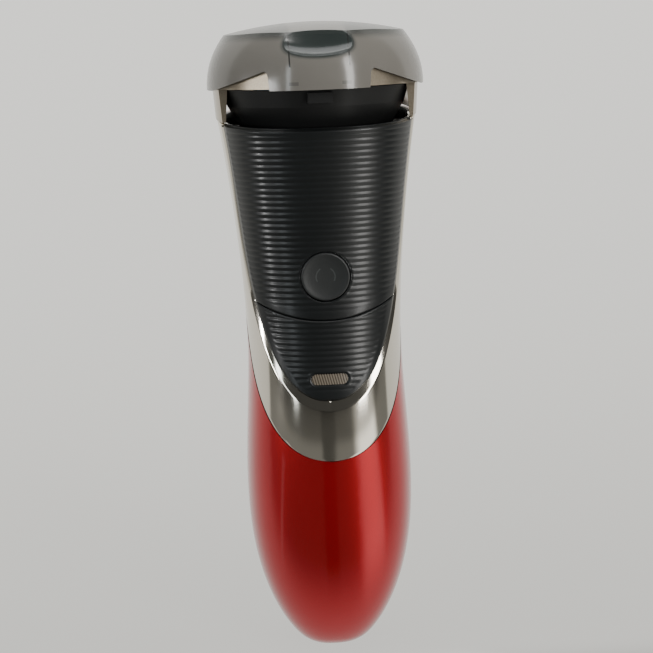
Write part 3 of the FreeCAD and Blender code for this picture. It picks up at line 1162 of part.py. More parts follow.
def make_head(index):
    """One floating head: its ring, the guard, the cutter and the carrier that the spindle drives."""
    x, y = head_spot(index)
    number = index + 1
    skirt_low = "holder_z + 0.3"
    flange_low = "holder_z + holder_height + float_travel + part_gap"
    ring_top = "guard_top_z - 1"
    keep(turned(f"head_ring_{number}", [
        ("head_bore", "0"), ("ring_skirt", "0"), ("ring_skirt", f"{flange_low} - ({skirt_low})"),
        ("head_ring_radius", f"{flange_low} - ({skirt_low})"), ("head_ring_radius", f"{ring_top} - 0.5 - ({skirt_low})"),
        ("head_ring_radius - 0.7", f"{ring_top} - ({skirt_low})"), ("head_bore", f"{ring_top} - ({skirt_low})")],
        x, y, skirt_low), f"head_ring_{number}")

    inner, edge = "guard_radius - guard_wall", "guard_height - guard_wall"
    guard = turned(f"guard_{number}", [
        (inner, "0"), ("guard_radius", "0"), ("guard_radius", edge), ("guard_radius - 0.4", "guard_height"),
        ("0", "guard_height"), ("0", "guard_height - 2"), ("centre_pin", "guard_height - 2"), ("centre_pin", edge),
        (inner, edge)], x, y, "guard_top_z - guard_height")
    slot = new_sketch(guard, "XY_Plane", f"guard_slot_{number}")
    far, side = "guard_radius - guard_rim", "guard_slot_width / 2"
    polygon(slot, [("guard_slot_start", f"-{side}"), (far, f"-{side}"), (far, side), ("guard_slot_start", side)])
    cut_slots(guard, slot, GUARD_SLOTS, f"guard_slots_{number}")
    keep(guard, f"guard_{number}")

    top = f"guard_height + cutter_drop - guard_wall - {FIT_CUT}"
    hub_top, pin_room = f"{top} - 0.3", f"{top} - 1.7"
    cutter = turned(f"cutter_{number}", [
        ("0", "0"), ("cutter_radius", "0"), ("cutter_radius", "cutter_plate"), ("cutter_hub", "cutter_plate"),
        ("cutter_hub", hub_top), ("centre_pin + running_gap", hub_top), ("centre_pin + running_gap", pin_room),
        ("0", pin_room)], x, y, CUTTER_Z)
    blade = new_sketch(cutter, "XY_Plane", f"cutter_blade_{number}")
    near, side = "cutter_blade_start", "cutter_blade_width / 2"
    polygon(blade, [(near, f"-{side}"), ("cutter_radius", f"-{side}"), ("cutter_radius", side), (near, side)])
    pad = cutter.newObject("PartDesign::Pad", f"cutter_blade_pad_{number}")
    pad.Profile = blade
    bind(pad, Length=top)
    ring_of(cutter, pad, blade, CUTTER_BLADES, f"cutter_blades_{number}")
    keep(cutter, f"cutter_{number}")

    low = "(spindle_top_z + float_travel + 0.2)"
    high = f"({CUTTER_Z} - {low})"
    step = f"{high} - carrier_plate_height"
    hub = turned(f"carrier_hub_{number}", [
        ("0", "0"), ("carrier_hub", "0"), ("carrier_hub", step), ("carrier_plate", step), ("carrier_plate", high),
        ("0", high)], x, y, low)
    socket = box(f"carrier_slot_{number}", "spindle_blade_length + drive_play", "spindle_blade_width + drive_play",
                 "spindle_blade_height + part_gap", x=x, y=y, z=f"{low} - part_gap")
    keep(cut(f"cutter_carrier_{number}_cut", hub, socket), f"cutter_carrier_{number}")


# ---------------------------------------------------------------- cap, button and trimmer

def cap_stations(wall, bottom, top):
    """Heights and insets of the cap's outline between its rim and its top, for a given wall."""
    start, shoulder, draft = val("cap_rim_z"), val("cap_shoulder_z"), val("cap_draft")
    stations = []
    for i in range(CAP_STATIONS + 1):
        z = bottom + (top - bottom) * i / CAP_STATIONS
        share = max(0.0, (z - start) / (shoulder - start))
        stations.append((z, wall + draft * share ** CAP_ROUNDING))
    return stations


def cap_form(name, wall):
    """The cap's form: drafted sides under a domed top."""
    rim, top = val("cap_rim_z"), val("cap_top_z")
    bottom = rim if wall == 0 else rim - 1
    wires = []
    for z, inset in cap_stations(wall, bottom, top + 0.5):
        wires.append(outline_wire(val("cap_half_width") - inset, val("cap_front") - inset,
                                  val("cap_back") - inset, z, val("lobe") + 0.3, val("lobe_half_width") + 0.4))
    sides = free_shape(name + "_sides", Part.makeLoft(wires, True))
    radius = val("cap_dome_radius") - wall
    dome = free_shape(name + "_dome", Part.makeSphere(radius, Vector(0, 0, top - wall - radius)))
    return common(name, sides, dome)


def scoop(name, grow):
    """The ellipsoid that makes the finger scoop in the cap's front edge."""
    ball = Part.makeSphere(1.0)
    matrix = FreeCAD.Matrix()
    matrix.scale(val("scoop_half_width") + grow, val("scoop_depth") + grow, val("scoop_half_height") + grow)
    shape = ball.transformGeometry(matrix)
    shape.translate(Vector(0, -(val("cap_front") + 0.6), val("scoop_z")))
    return free_shape(name, shape)


def make_cap():
    """The clear protective cap, open below, with an arched rim beside its front tab."""
    outer = cut("cap_outer", cap_form("cap_form", 0.0), scoop("scoop_outside", 0.0))
    inner = cut("cap_inner", cap_form("cap_hollow", val("cap_wall")), scoop("scoop_inside", val("cap_wall")))
    arches = [arch_block(f"cap_arch_{i}", side) for i, side in enumerate((-1, 1))]
    keep(cut("protective_cap_cut", outer, inner, *arches), "protective_cap")


def arch_block(name, side):
    """A block under the arched rim on one side of the tab."""
    inner, outer = val("cap_tab_half_width"), val("cap_half_width") - 1.5
    low, high = val("cap_rim_z"), val("cap_arch_z")
    corners = [Vector(side * inner, 0, low - 5), Vector(side * (inner + 0.8), 0, high - 0.8),
               Vector(side * (inner + 1.6), 0, high), Vector(side * outer, 0, low), Vector(side * outer, 0, low - 5)]
    face = Part.Face(Part.makePolygon(corners + corners[:1]))
    block = face.extrude(Vector(0, -FRONT_REACH, 0))
    block.translate(Vector(0, -4, 0))
    return free_shape(name, block)


def make_button():
    """The power button with its flange and the stem that presses the switch."""
    face = f"({front_depth(val('button_z')):.3f} + button_proud)"
    back = "-board_y + switch_height + switch_plunger + button_travel + 0.05"
    flange = f"{back} + 0.6"
    body = turned("power_button", [
        ("0", back), ("button_radius + 0.8", back), ("button_radius + 0.8", flange), ("button_radius", flange),
        ("button_radius", f"{face} - 0.5"), ("button_radius - 0.4", face), ("0", face)])
    body.Placement = Placement(Vector(), Rotation(Vector(1, 0, 0), 90))
    place(body, z="button_z")
    keep(body, "power_button")


def make_trimmer():
    """The pop-up trimmer: its bay, the cover with its knuckle, the pin, the comb, the blade and the slider."""
    walls = body_blank("bay_blank", val("shell_wall") + val("seam_gap"), val("trimmer_bottom_z") - 5,
                       val("trimmer_pivot_z") + 6.5)
    foot = "trimmer_bottom_z - bay_foot"
    bay_box = box("bay_box", "2 * (trimmer_half_width + trimmer_side_wall)", THROUGH,
                  f"trimmer_pivot_z + bay_head - ({foot})", y=f"trimmer_floor_y - trimmer_floor + {THROUGH} / 2", z=foot)
    room = trimmer_room("bay_room", "trimmer_half_width + part_gap")
    lugs = []
    for i, side in enumerate((-1, 1)):
        x = f"{side} * (barrel_width / 2 + part_gap + bay_lug_width / 2)"
        lugs.append(cylinder(f"bay_lug_{i}", "trimmer_knuckle", "bay_lug_width", x=f"{x} - bay_lug_width / 2",
                             y="trimmer_pivot_y", z="trimmer_pivot_z", axis="x"))
        lugs.append(box(f"bay_lug_root_{i}", "bay_lug_width", "trimmer_pivot_y - trimmer_floor_y + 0.2", KNUCKLE_ROOT,
                        x=x, y="(trimmer_pivot_y + trimmer_floor_y - 0.2) / 2", z=KNUCKLE_ROOT_Z))
    pin_hole = cylinder("bay_pin_hole", "trimmer_pin_radius", THROUGH, x=-THROUGH / 2,
                        y="trimmer_pivot_y", z="trimmer_pivot_z", axis="x")
    bay = fuse("bay_with_lugs", cut("bay_shell", common("bay_solid", walls, bay_box), room), *lugs)
    keep(cut("trimmer_housing_cut", bay, pin_hole), "trimmer_housing")
    pin_length = "(barrel_width + 2 * part_gap + 2 * bay_lug_width)"
    keep(cylinder("trimmer_pin_rod", "trimmer_pin_radius", pin_length, x=f"-{pin_length} / 2",
                  y="trimmer_pivot_y", z="trimmer_pivot_z", axis="x"), "trimmer_hinge_pin")

    bottom, top = val("trimmer_bottom_z") - 2, val("trimmer_pivot_z") + 6
    skin = cut("trimmer_skin", body_blank("trimmer_form", 0.0, bottom, top),
               body_blank("trimmer_inside", val("trimmer_cover_wall"), bottom - 1, top + 1))
    low = box("cover_low", "2 * trimmer_half_width", 20, "trimmer_pivot_z - trimmer_bottom_z",
              y=20, z="trimmer_bottom_z")
    bar = cylinder("cover_round_bar", TRIMMER_REACH, "2 * trimmer_half_width", x="-trimmer_half_width",
                   y="trimmer_pivot_y", z="trimmer_pivot_z", axis="x")
    limit = box("cover_round_limit", "4 * trimmer_half_width", 20, "trimmer_top_rise", y="trimmer_pivot_y + 8",
                z="trimmer_pivot_z")
    barrel = cylinder("cover_barrel", "trimmer_knuckle", "barrel_width", x="-barrel_width / 2",
                      y="trimmer_pivot_y", z="trimmer_pivot_z", axis="x")
    inside = "waist_back - trimmer_cover_wall + 0.3"
    web = box("cover_web", "barrel_width", f"{inside} - trimmer_pivot_y", KNUCKLE_ROOT,
              y=f"({inside} + trimmer_pivot_y) / 2", z=KNUCKLE_ROOT_Z)
    bore = cylinder("cover_bore", "trimmer_pin_radius + running_gap", THROUGH, x=-THROUGH / 2,
                    y="trimmer_pivot_y", z="trimmer_pivot_z", axis="x")
    outline = fuse("cover_outline", low, common("cover_round", bar, limit))
    panel = common("cover_panel", skin, outline)
    keep(cut("trimmer_cover_cut", fuse("cover_solid", panel, barrel, web), bore), "trimmer_cover")

    keep(toothed_plate("comb", 0), "trimmer_comb")
    keep(toothed_plate("blade", "blade_lift"), "trimmer_blade")
    make_slider()


def toothed_plate(kind, lift):
    """A flat steel plate with a row of teeth along its lower edge, the comb or the blade behind the cover."""
    foot = f"trimmer_bottom_z + comb_gap + {lift}"
    y, thickness = f"trimmer_pivot_y - {kind}_depth", f"{kind}_thickness"
    plate = box(f"{kind}_plate", f"{kind}_width", thickness, f"{kind}_length - tooth_length - {lift}", y=y,
                z=f"{foot} + tooth_length")
    count = int(val(f"{kind}_width") / val("tooth_pitch"))
    teeth = [box(f"{kind}_tooth_{i}", f"{kind}_tooth", thickness, "tooth_length + 0.2",
                 x=f"{i - (count - 1) / 2} * tooth_pitch", y=y, z=foot) for i in range(count)]
    return fuse(f"{kind}_parts", plate, *teeth)


def make_slider():
    """The slider behind the handle that releases the trimmer."""
    low, high = val("slider_z") - val("slider_length") / 2, val("slider_z") + val("slider_length") / 2
    inner = back_depth(high + val("slider_travel")) - val("shell_wall")
    foot, pad_y = "slider_z - slider_length / 2", f"({back_depth(low):.3f} + slider_play)"
    pad = box("slider_pad", "2 * slider_half_width", "slider_thickness", "slider_length",
              y=f"{pad_y} + slider_thickness / 2", z=foot)
    ridges = [box(f"slider_ridge_{i}", "2 * (slider_half_width - slider_flange_inset)", "ridge_depth", "ridge_height",
                  y=f"{pad_y} + slider_thickness + ridge_depth / 2 - {FIT_CUT}",
                  z=f"slider_z + {i - 1.5} * ridge_pitch - ridge_height / 2") for i in range(4)]
    stem = box("slider_stem", "2 * (slider_half_width - slider_neck)", f"{pad_y} - {inner:.3f} + 1.2",
               "slider_length - 2 * slider_step", y=f"({pad_y} + {inner:.3f} - 1.0) / 2", z=f"{foot} + slider_step")
    flange = box("slider_flange", "2 * (slider_half_width - slider_flange_inset)", "slider_flange", "slider_length",
                 y=f"{inner:.3f} - 0.5 - slider_flange / 2", z=foot)
    keep(fuse("slider_parts", pad, stem, flange, *ridges), "trimmer_slider")


# ---------------------------------------------------------------- the whole shaver

def build():
    """Builds every piece, checks them all and writes one file for each."""
    make_red_shell(*make_covers())
    make_chassis()
    make_board()
    make_socket()
    make_leads()
    make_motor()
    make_gears()
    make_gearbox()
    make_deck()
    make_hair_chamber()
    make_head_frame()
    for index in range(3):
        make_head(index)
    make_cap()
    make_button()
    make_trimmer()
    doc.recompute()
    failed = [o.Label for o in doc.Objects if {"Invalid", "Error"} & set(o.State)]
    for obj in KEPT:
        shape = obj.Shape
        if shape.isNull() or not shape.isValid() or not shape.Solids:
            failed.append(obj.Label)
    if failed:
        raise RuntimeError("these did not build: " + ", ".join(failed))
    os.makedirs("parts", exist_ok=True)
    for obj in KEPT:
        obj.Shape.exportStep(f"parts/{obj.Label}.step")
        print(f"{obj.Label}: {len(obj.Shape.Solids)} solid(s), {obj.Shape.Volume:.1f} mm3")


build()
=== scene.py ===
"""Rotary electric shaver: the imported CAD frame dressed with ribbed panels, button, chrome trim and finishes.

Metres, same frame as the CAD: +Z up the handle, -Y the front with the button, +X to the right of the front.
"""
import bmesh
import bpy
import math
import numpy as np
from mathutils import Matrix, Vector


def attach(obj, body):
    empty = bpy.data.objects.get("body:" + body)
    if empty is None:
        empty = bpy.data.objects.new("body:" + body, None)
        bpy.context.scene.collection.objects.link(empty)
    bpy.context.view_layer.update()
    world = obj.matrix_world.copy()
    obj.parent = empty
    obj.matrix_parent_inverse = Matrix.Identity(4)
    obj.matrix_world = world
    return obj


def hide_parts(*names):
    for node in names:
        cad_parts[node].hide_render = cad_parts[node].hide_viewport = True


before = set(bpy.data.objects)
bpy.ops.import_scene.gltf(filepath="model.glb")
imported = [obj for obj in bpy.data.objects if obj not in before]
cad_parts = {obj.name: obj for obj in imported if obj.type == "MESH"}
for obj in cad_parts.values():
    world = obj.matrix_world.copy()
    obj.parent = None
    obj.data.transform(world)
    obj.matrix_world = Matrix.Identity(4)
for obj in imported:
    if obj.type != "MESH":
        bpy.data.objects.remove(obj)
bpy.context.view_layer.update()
MM = 0.001

# ---------------------------------------------------------------- the handle's form, in millimetres

SHOULDER_Z, SHOULDER_SLOPE = 142.0, math.tan(math.radians(5.0))
SQUARENESS = 2.35
END_POWER, END_ROUNDNESS = 2.33, 1.315
PANEL_TIP, PANEL_SIDE, PANEL_SHARE, PANEL_POWER = 72.7, 125.0, 0.945, 3.0
TRIM_TIP, TRIM_SIDE, TRIM_POWER = 57.2, 97.0, 2.6
SEAM_MIDDLE, SEAM_RISE, SEAM_SPAN = 92.6, 3.9, 17.0
SEAM_GAP = 0.15
BUTTON_Z, BUTTON_RADIUS, BUTTON_GAP = 103.5, 6.05, 0.25
WINDOW_Z, WINDOW_LENGTH, WINDOW_HEIGHT = 78.1, 9.2, 2.75
RIB_DEPTH = 0.15
UPPER_RIB_Z, UPPER_RIB_PITCH = 138.8, 1.46
LOWER_RIB_Z, LOWER_RIB_PITCH = 92.0, 1.38
OUTLINE_ROUNDNESS = 2.1
PANEL_WALL, PANEL_INNER_SHARE = 1.8, 0.96
PANEL_COLUMNS, UPPER_ROWS, LOWER_ROWS = 141, 381, 181
TRIM_WALL, TRIM_LIP, LIP_SHARE = 1.7, 0.55, 0.148
TRIM_TOP_INNER, TRIM_TOP_OUTER, TRIM_COLUMNS = 141.0, 141.9, 281
TURN_POINTS, PILL_POINTS = 96, 24
BORE_FROM, BORE_TO = -40.0, -1.0
BUTTON_BACK = 15.0

# foot, belly, waist, shoulder, belly height, waist height, power of the flare
WIDTH_FORM = 7.5, 21.9, 20.05, 25.0, 46.0, 86.5, 1.65
FRONT_FORM = 6.5, 22.5, 18.3, 22.8, 58.0, 106.0, 1.65

# ---------------------------------------------------------------- shell, camera and studio, in metres

WELD = 1e-6
SHELL_HALF_WIDTH, SHELL_DEPTH, SHELL_WALL_SHARE, SHELL_BARE_FROM = 0.0249, 0.0224, 0.93, 0.137
CAMERA_DISTANCE, CAMERA_HEIGHT, CAMERA_LENS, CAMERA_SHIFT = 0.335, 0.163, 72.2, 0.0044
CAMERA_AZIMUTH, CAMERA_PITCH, CAMERA_ROLL = map(math.radians, (-3.0, 12.8, -2.1))
SWEEP_HALF, SWEEP_FRONT, SWEEP_BEND, SWEEP_WALL, SWEEP_TOP = 3.0, -3.0, 0.15, 0.3, 2.5
# Sweep: emission strength of its painted light, the darkest its painted shade on the floor goes, its diffuse share, and
# the room's glow.
SWEEP_PAINTED_GLOW, SWEEP_DARKEST_PAINTED_SHADE, SWEEP_DIFFUSE, ROOM_GLOW = 1.85, 0.005, 0.1, 0.12


def rise(z, foot, belly, waist, shoulder, belly_z, waist_z, power):
    """Half a size at height z: rounded end up to the belly, smoothstep to the waist, power curve to the shoulder."""
    low = foot + (belly - foot) * (1 - np.clip(1 - z / belly_z, 0, 1) ** END_POWER) ** (1 / END_ROUNDNESS)
    share = np.clip((z - belly_z) / (waist_z - belly_z), 0, 1)
    neck = belly + (waist - belly) * share * share * (3 - 2 * share)
    flare = np.clip((z - waist_z) / (SHOULDER_Z - waist_z), 0, None) ** power
    return np.where(z < belly_z, low, np.where(z < waist_z, neck, waist + (shoulder - waist) * flare))


def half_width(z):
    """Half width of the handle at height z."""
    return rise(z, *WIDTH_FORM)


def front_depth(z):
    """Depth of the handle in front of its parting line at height z."""
    return rise(z, *FRONT_FORM)


def front_y(x, z, inset=0.0):
    """Front surface: y = -depth * (1 - |x / half width|^squareness)^(1 / squareness), all sizes taken in by inset."""
    share = np.clip(np.abs(x) / (half_width(z) - inset), 0, 1) ** SQUARENESS
    return -(front_depth(z) - inset) * (1 - share) ** (1 / SQUARENESS)


def panel_width(z):
    """Half width of the ribbed panel: share * half width * (1 - t^power)^(1/roundness), t from 1 at its tip to 0."""
    t = np.clip((PANEL_SIDE - z) / (PANEL_SIDE - PANEL_TIP), 0, 1)
    return PANEL_SHARE * half_width(z) * (1 - t ** PANEL_POWER) ** (1 / OUTLINE_ROUNDNESS)


def trim_width(z):
    """Half width of the chrome trim: the same curve with its own tip, and never more than the handle."""
    t = np.clip((TRIM_SIDE - z) / (TRIM_SIDE - TRIM_TIP), 0, 1)
    reach = 1 + 0.06 * (1 - t) ** 20
    return np.minimum(reach * (1 - t ** TRIM_POWER) ** (1 / OUTLINE_ROUNDNESS), 1.0) * half_width(z)


def shoulder_z(y):
    """Height of the sloping shoulder plane at depth y."""
    return SHOULDER_Z + SHOULDER_SLOPE * y


def smooth(low, high, value):
    """Smooth step from 0 at low to 1 at high."""
    t = np.clip((value - low) / (high - low), 0, 1)
    return t * t * (3 - 2 * t)


# ---------------------------------------------------------------- meshes

def grid_faces(rows, columns, wrap_rows=False, wrap_columns=False):
    """Quads of a grid of points stored row by row, with an optional wrap in either direction."""
    r = np.arange(rows if wrap_rows else rows - 1)[:, None]
    c = np.arange(columns if wrap_columns else columns - 1)[None, :]
    r2, c2 = (r + 1) % rows, (c + 1) % columns
    return np.stack([r * columns + c, r * columns + c2, r2 * columns + c2, r2 * columns + c], -1).reshape(-1, 4)


def mesh_piece(name, points, faces, finish, body, nodes):
    """A smooth mesh object in metres from points in millimetres; doubles merged and faces turned outwards."""
    mesh = bpy.data.meshes.new(name)
    mesh.vertices.add(len(points))
    mesh.vertices.foreach_set("co", (points * MM).astype(np.float32).ravel())
    mesh.loops.add(faces.size)
    mesh.loops.foreach_set("vertex_index", faces.astype(np.int32).ravel())
    mesh.polygons.add(len(faces))
    mesh.polygons.foreach_set("loop_start", np.arange(0, faces.size, faces.shape[1], dtype=np.int32))
    mesh.update(calc_edges=True)
    work = bmesh.new()
    work.from_mesh(mesh)
    bmesh.ops.remove_doubles(work, verts=work.verts, dist=WELD)
    bmesh.ops.recalc_face_normals(work, faces=work.faces)
    work.to_mesh(mesh)
    work.free()
    mesh.polygons.foreach_set("use_smooth", np.ones(len(mesh.polygons), bool))
    mesh.update()
    piece = bpy.data.objects.new(name, mesh)
    bpy.context.scene.collection.objects.link(piece)
    mesh.materials.append(finish)
    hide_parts(*nodes)
    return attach(piece, body)


def closed_plate(outer, inner):
    """Points and faces of a closed plate from an outer and an inner grid of the same size, joined round their edges."""
    rows, columns = outer.shape[:2]
    front = grid_faces(rows, columns)
    back = front[:, ::-1] + rows * columns
    ring = np.concatenate([
        np.arange(columns), np.arange(1, rows) * columns + columns - 1,
        (rows - 1) * columns + np.arange(columns - 2, -1, -1), np.arange(rows - 2, 0, -1) * columns])
    after = np.roll(ring, -1)
    edge = np.stack([ring, ring + rows * columns, after + rows * columns, after], -1)
    return np.concatenate([outer.reshape(-1, 3), inner.reshape(-1, 3)]), np.concatenate([front, back, edge])


def rib_profile(z, first, pitch):
    """Depth share of the ribs at height z: a rounded crest with a narrow valley, one for each pitch above first."""
    phase = ((z - first) / pitch) % 1.0
    return (1 - np.abs(np.sin(np.pi * phase))) ** 0.8


# ---------------------------------------------------------------- shader expressions

class Wire:
    """One socket of a material; arithmetic on it adds Math nodes."""

    def __init__(self, finish, socket):
        self.finish, self.socket = finish, socket

    def __add__(self, other):
        return self.finish.math("ADD", self, other)

    def __sub__(self, other):
        return self.finish.math("SUBTRACT", self, other)

    def __rsub__(self, other):
        return self.finish.math("SUBTRACT", other, self)

    def __mul__(self, other):
        return self.finish.math("MULTIPLY", self, other)

    def __truediv__(self, other):
        return self.finish.math("DIVIDE", self, other)

    def __pow__(self, other):
        return self.finish.math("POWER", self, other)

    def __gt__(self, other):
        return self.finish.math("GREATER_THAN", self, other)

    def __lt__(self, other):
        return self.finish.math("LESS_THAN", self, other)

    def __abs__(self):
        return self.finish.math("ABSOLUTE", self)

    __radd__, __rmul__ = __add__, __mul__


class Finish:
    """A material whose nodes are written as expressions."""

    def __init__(self, name):
        self.material = bpy.data.materials.new(name)
        self.material.use_nodes = True
        self.nodes, self.links = self.material.node_tree.nodes, self.material.node_tree.links
        self.nodes.clear()

    def node(self, kind, settings=None, inputs=None, output=0):
        """Adds a node: its settings first, then the values or links of its sockets. Returns one output."""
        made = self.nodes.new(kind)
        for key, value in (settings or {}).items():
            setattr(made, key, value)
        for key, value in (inputs or {}).items():
            if isinstance(value, Wire):
                self.links.new(value.socket, made.inputs[key])
            else:
                made.inputs[key].default_value = value
        return Wire(self, made.outputs[output])

    def math(self, operation, *values):
        """A Math node."""
        return self.node("ShaderNodeMath", {"operation": operation}, dict(enumerate(values)))

    def mix(self, factor, first, second):
        """Colours mixed by a factor."""
        return self.node("ShaderNodeMix", {"data_type": "RGBA"}, {0: factor, 6: first, 7: second}, 2)

    def step(self, value, low, high):
        """Smooth step of a value from 0 at low to 1 at high."""
        settings = {"interpolation_type": "SMOOTHSTEP"}
        if high > low:
            return self.node("ShaderNodeMapRange", settings, {0: value, 1: low, 2: high})
        return 1 - self.node("ShaderNodeMapRange", settings, {0: value, 1: high, 2: low})

    def coordinates(self, scale=(1, 1, 1)):
        """Object coordinates, stretched."""
        place = self.node("ShaderNodeTexCoord", output="Object")
        return self.node("ShaderNodeMapping", {}, {"Vector": place, "Scale": scale})

    def axes(self):
        """The x, y and z of the Object coordinates, in metres."""
        split = self.node("ShaderNodeSeparateXYZ", {}, {0: self.node("ShaderNodeTexCoord", output="Object")})
        outputs = split.socket.node.outputs
        return [Wire(self, outputs[i]) for i in range(3)]

    def noise(self, scale, detail=3.0, stretch=(1, 1, 1)):
        """Fractal noise on Object coordinates, 0 to 1."""
        return self.node("ShaderNodeTexNoise", {}, {
            "Vector": self.coordinates(stretch), "Scale": scale, "Detail": detail, "Roughness": 0.5})

    def bump(self, height, strength, distance):
        """A normal from a height."""
        return self.node("ShaderNodeBump", {}, {"Strength": strength, "Distance": distance, "Height": height})

    def surface(self, **sockets):
        """Ends the material in a Principled shader; words with _ stand for socket names with spaces."""
        inputs = {key.replace("_", " "): value for key, value in sockets.items()}
        shader = self.node("ShaderNodeBsdfPrincipled", {}, inputs)
        self.node_out(shader)
        return self.material

    def node_out(self, shader):
        """Ends the material in a shader."""
        out = self.nodes.new("ShaderNodeOutputMaterial")
        self.links.new(shader.socket, out.inputs["Surface"])


def colour(red, green, blue):
    """Linear colour of an 8-bit sRGB one, with alpha."""
    share = np.array([red, green, blue]) / 255
    linear = np.where(share <= 0.04045, share / 12.92, ((share + 0.055) / 1.055) ** 2.4)
    return (*map(float, linear), 1.0)


# ---------------------------------------------------------------- finishes

def red_lacquer():
    """Candy red: fine metal flake under a clear coat, a slight orange peel, and bare black plastic inside the shell."""
    f = Finish("red_lacquer")
    flake = f.node("ShaderNodeTexVoronoi", {}, {"Vector": f.coordinates(), "Scale": 5200.0}, "Distance")
    drift = f.noise(42.0, 2.0)
    x, y, z = f.axes()
    ring = abs(x / SHELL_HALF_WIDTH) ** SQUARENESS + abs(y / SHELL_DEPTH) ** SQUARENESS
    bare = (ring < SHELL_WALL_SHARE) * (z > SHELL_BARE_FROM)
    base = f.mix(flake * 0.35 + drift * 0.3, colour(150, 4, 14), colour(186, 12, 26))
    base = f.mix(bare, base, colour(9, 9, 9))
    peel = f.noise(900.0, 1.0)
    return f.surface(Base_Color=base, Metallic=0.75 * (1 - bare), Roughness=0.3 + flake * 0.05,
                     Coat_Weight=1 - bare, Coat_Roughness=0.07, Coat_IOR=1.3, Normal=f.bump(peel, 0.02, 0.0002))


def chrome_plate():
    """Bright plated trim with a faint drift in its polish and hairline wear."""
    f = Finish("chrome_plate")
    hair = f.noise(260.0, 4.0, (1, 1, 0.08))
    cloud = f.noise(35.0, 2.0)
    base = f.mix(cloud, colour(204, 198, 186), colour(218, 213, 202))
    return f.surface(Base_Color=base, Metallic=1.0, Roughness=0.07 + hair * 0.06 + cloud * 0.03,
                     Normal=f.bump(hair, 0.02, 0.0002))


def black_moulding(name, low, high, roughness, grain=1500.0, strength=0.12, coat=0.0):
    """Moulded black plastic: fine spark-eroded grain, two close tones and a little rubbed gloss."""
    f = Finish(name)
    tone, fine = f.noise(28.0, 3.0), f.noise(grain, 2.0)
    rub = f.noise(75.0, 3.0)
    return f.surface(Base_Color=f.mix(tone, low, high), Roughness=roughness + rub * 0.12 + fine * 0.05,
                     Specular_IOR_Level=0.3, Coat_Weight=coat, Coat_Roughness=0.2,
                     Normal=f.bump(fine, strength, 0.0002))


def button_plastic():
    """Satin black with a faint generic power mark pressed in as two arcs."""
    f = Finish("button_plastic")
    x, _, z = f.axes()
    up = z - BUTTON_Z * MM
    radius = f.math("SQRT", x * x + up * up)
    ring = (abs(radius - 0.00235) < 0.00016) * (abs(x) > 0.00125) * (up > -0.0011)
    fine = f.noise(1800.0, 2.0)
    base = f.mix(ring * 0.5, f.mix(f.noise(60.0), colour(16, 18, 18), colour(22, 25, 25)), colour(58, 62, 61))
    return f.surface(Base_Color=base, Roughness=0.42 + fine * 0.12, Normal=f.bump(fine - ring, 0.12, 0.0001))


def window_plastic():
    """Grey translucent charge window with fine slanting hatch moulded behind it."""
    f = Finish("window_plastic")
    x, _, z = f.axes()
    wave = f.math("SINE", (x + z * 0.25) * 9800.0)
    hatch = wave * 0.5 + 0.5
    base = f.mix(hatch * 0.75 + f.noise(900.0) * 0.25, colour(50, 44, 37), colour(112, 103, 90))
    return f.surface(Base_Color=base, Roughness=0.24 + hatch * 0.1, Normal=f.bump(hatch, 0.3, 0.0001))


def smoke_plastic():
    """Clear smoke grey plastic of the cap, tinted and slightly hazy, with two moulded lines in front. A bowl at the
    front top and a band along the top at the sides are darkened as painted shade, and the moulded lines and blocks are
    darkened with painted shade as well as pressed in.
    """
    f = Finish("smoke_plastic")
    x, y, z = f.axes()
    lines = (abs(abs(x) - 0.007) < 0.00016) * (y < -0.012) * (z > 0.1545)
    blocks = (abs(abs(x) - 0.0062) < 0.0011) * (abs(z - 0.1507) < 0.0004) * (y < -0.015)
    # Painted shade: a bowl at the front top and a band along the top at the sides are darkened in the cap's colour.
    bowl = (x / 0.0124) ** 2.0 + ((y + 0.0246) / 0.0042) ** 2.0 + ((z - 0.1628) / 0.006) ** 2.0
    scoop_painted_shade = f.step(bowl, 1.35, 0.95)
    crown_painted_shade = f.step(z, 0.1602, 0.1622) * f.step(abs(x), 0.006, 0.008)
    haze = f.noise(55.0, 3.0)
    base = f.mix(haze, colour(98, 95, 90), colour(118, 115, 109))
    base = f.mix(scoop_painted_shade, base, colour(38, 46, 45))
    base = f.mix(crown_painted_shade * 0.8, base, colour(46, 50, 49))
    # Painted shade: the moulded lines and blocks, pressed in by the bump below, are also darkened in colour.
    base = f.mix(lines + blocks * 0.4, base, colour(40, 41, 40))
    fine = f.noise(800.0, 2.0)
    return f.surface(Base_Color=base, Roughness=0.2 + haze * 0.08, IOR=1.49, Coat_Weight=0.3, Coat_Roughness=0.08,
                     Alpha=0.86 + haze * 0.05, Normal=f.bump(fine * 0.2 - lines - blocks, 0.2, 0.0002))


def silver_paint():
    """Warm silver paint on the head frame, with fine metal grain."""
    f = Finish("silver_paint")
    grain, cloud = f.noise(2400.0, 2.0), f.noise(60.0, 3.0)
    base = f.mix(grain * 0.5 + cloud * 0.4, colour(128, 118, 102), colour(184, 173, 154))
    return f.surface(Base_Color=base, Metallic=0.85, Roughness=0.26 + grain * 0.12, Coat_Weight=0.5,
                     Coat_Roughness=0.08, Normal=f.bump(grain, 0.05, 0.0001))


def steel(name, low, high, roughness, brushed=(1, 1, 1)):
    """Ground steel: stretched brushing in its tone, gloss and relief."""
    f = Finish(name)
    brush = f.noise(1400.0, 5.0, brushed)
    spot = f.noise(120.0, 3.0)
    return f.surface(Base_Color=f.mix(brush * 0.6 + spot * 0.4, low, high), Metallic=1.0,
                     Roughness=roughness + brush * 0.16, Normal=f.bump(brush, 0.08, 0.0001))


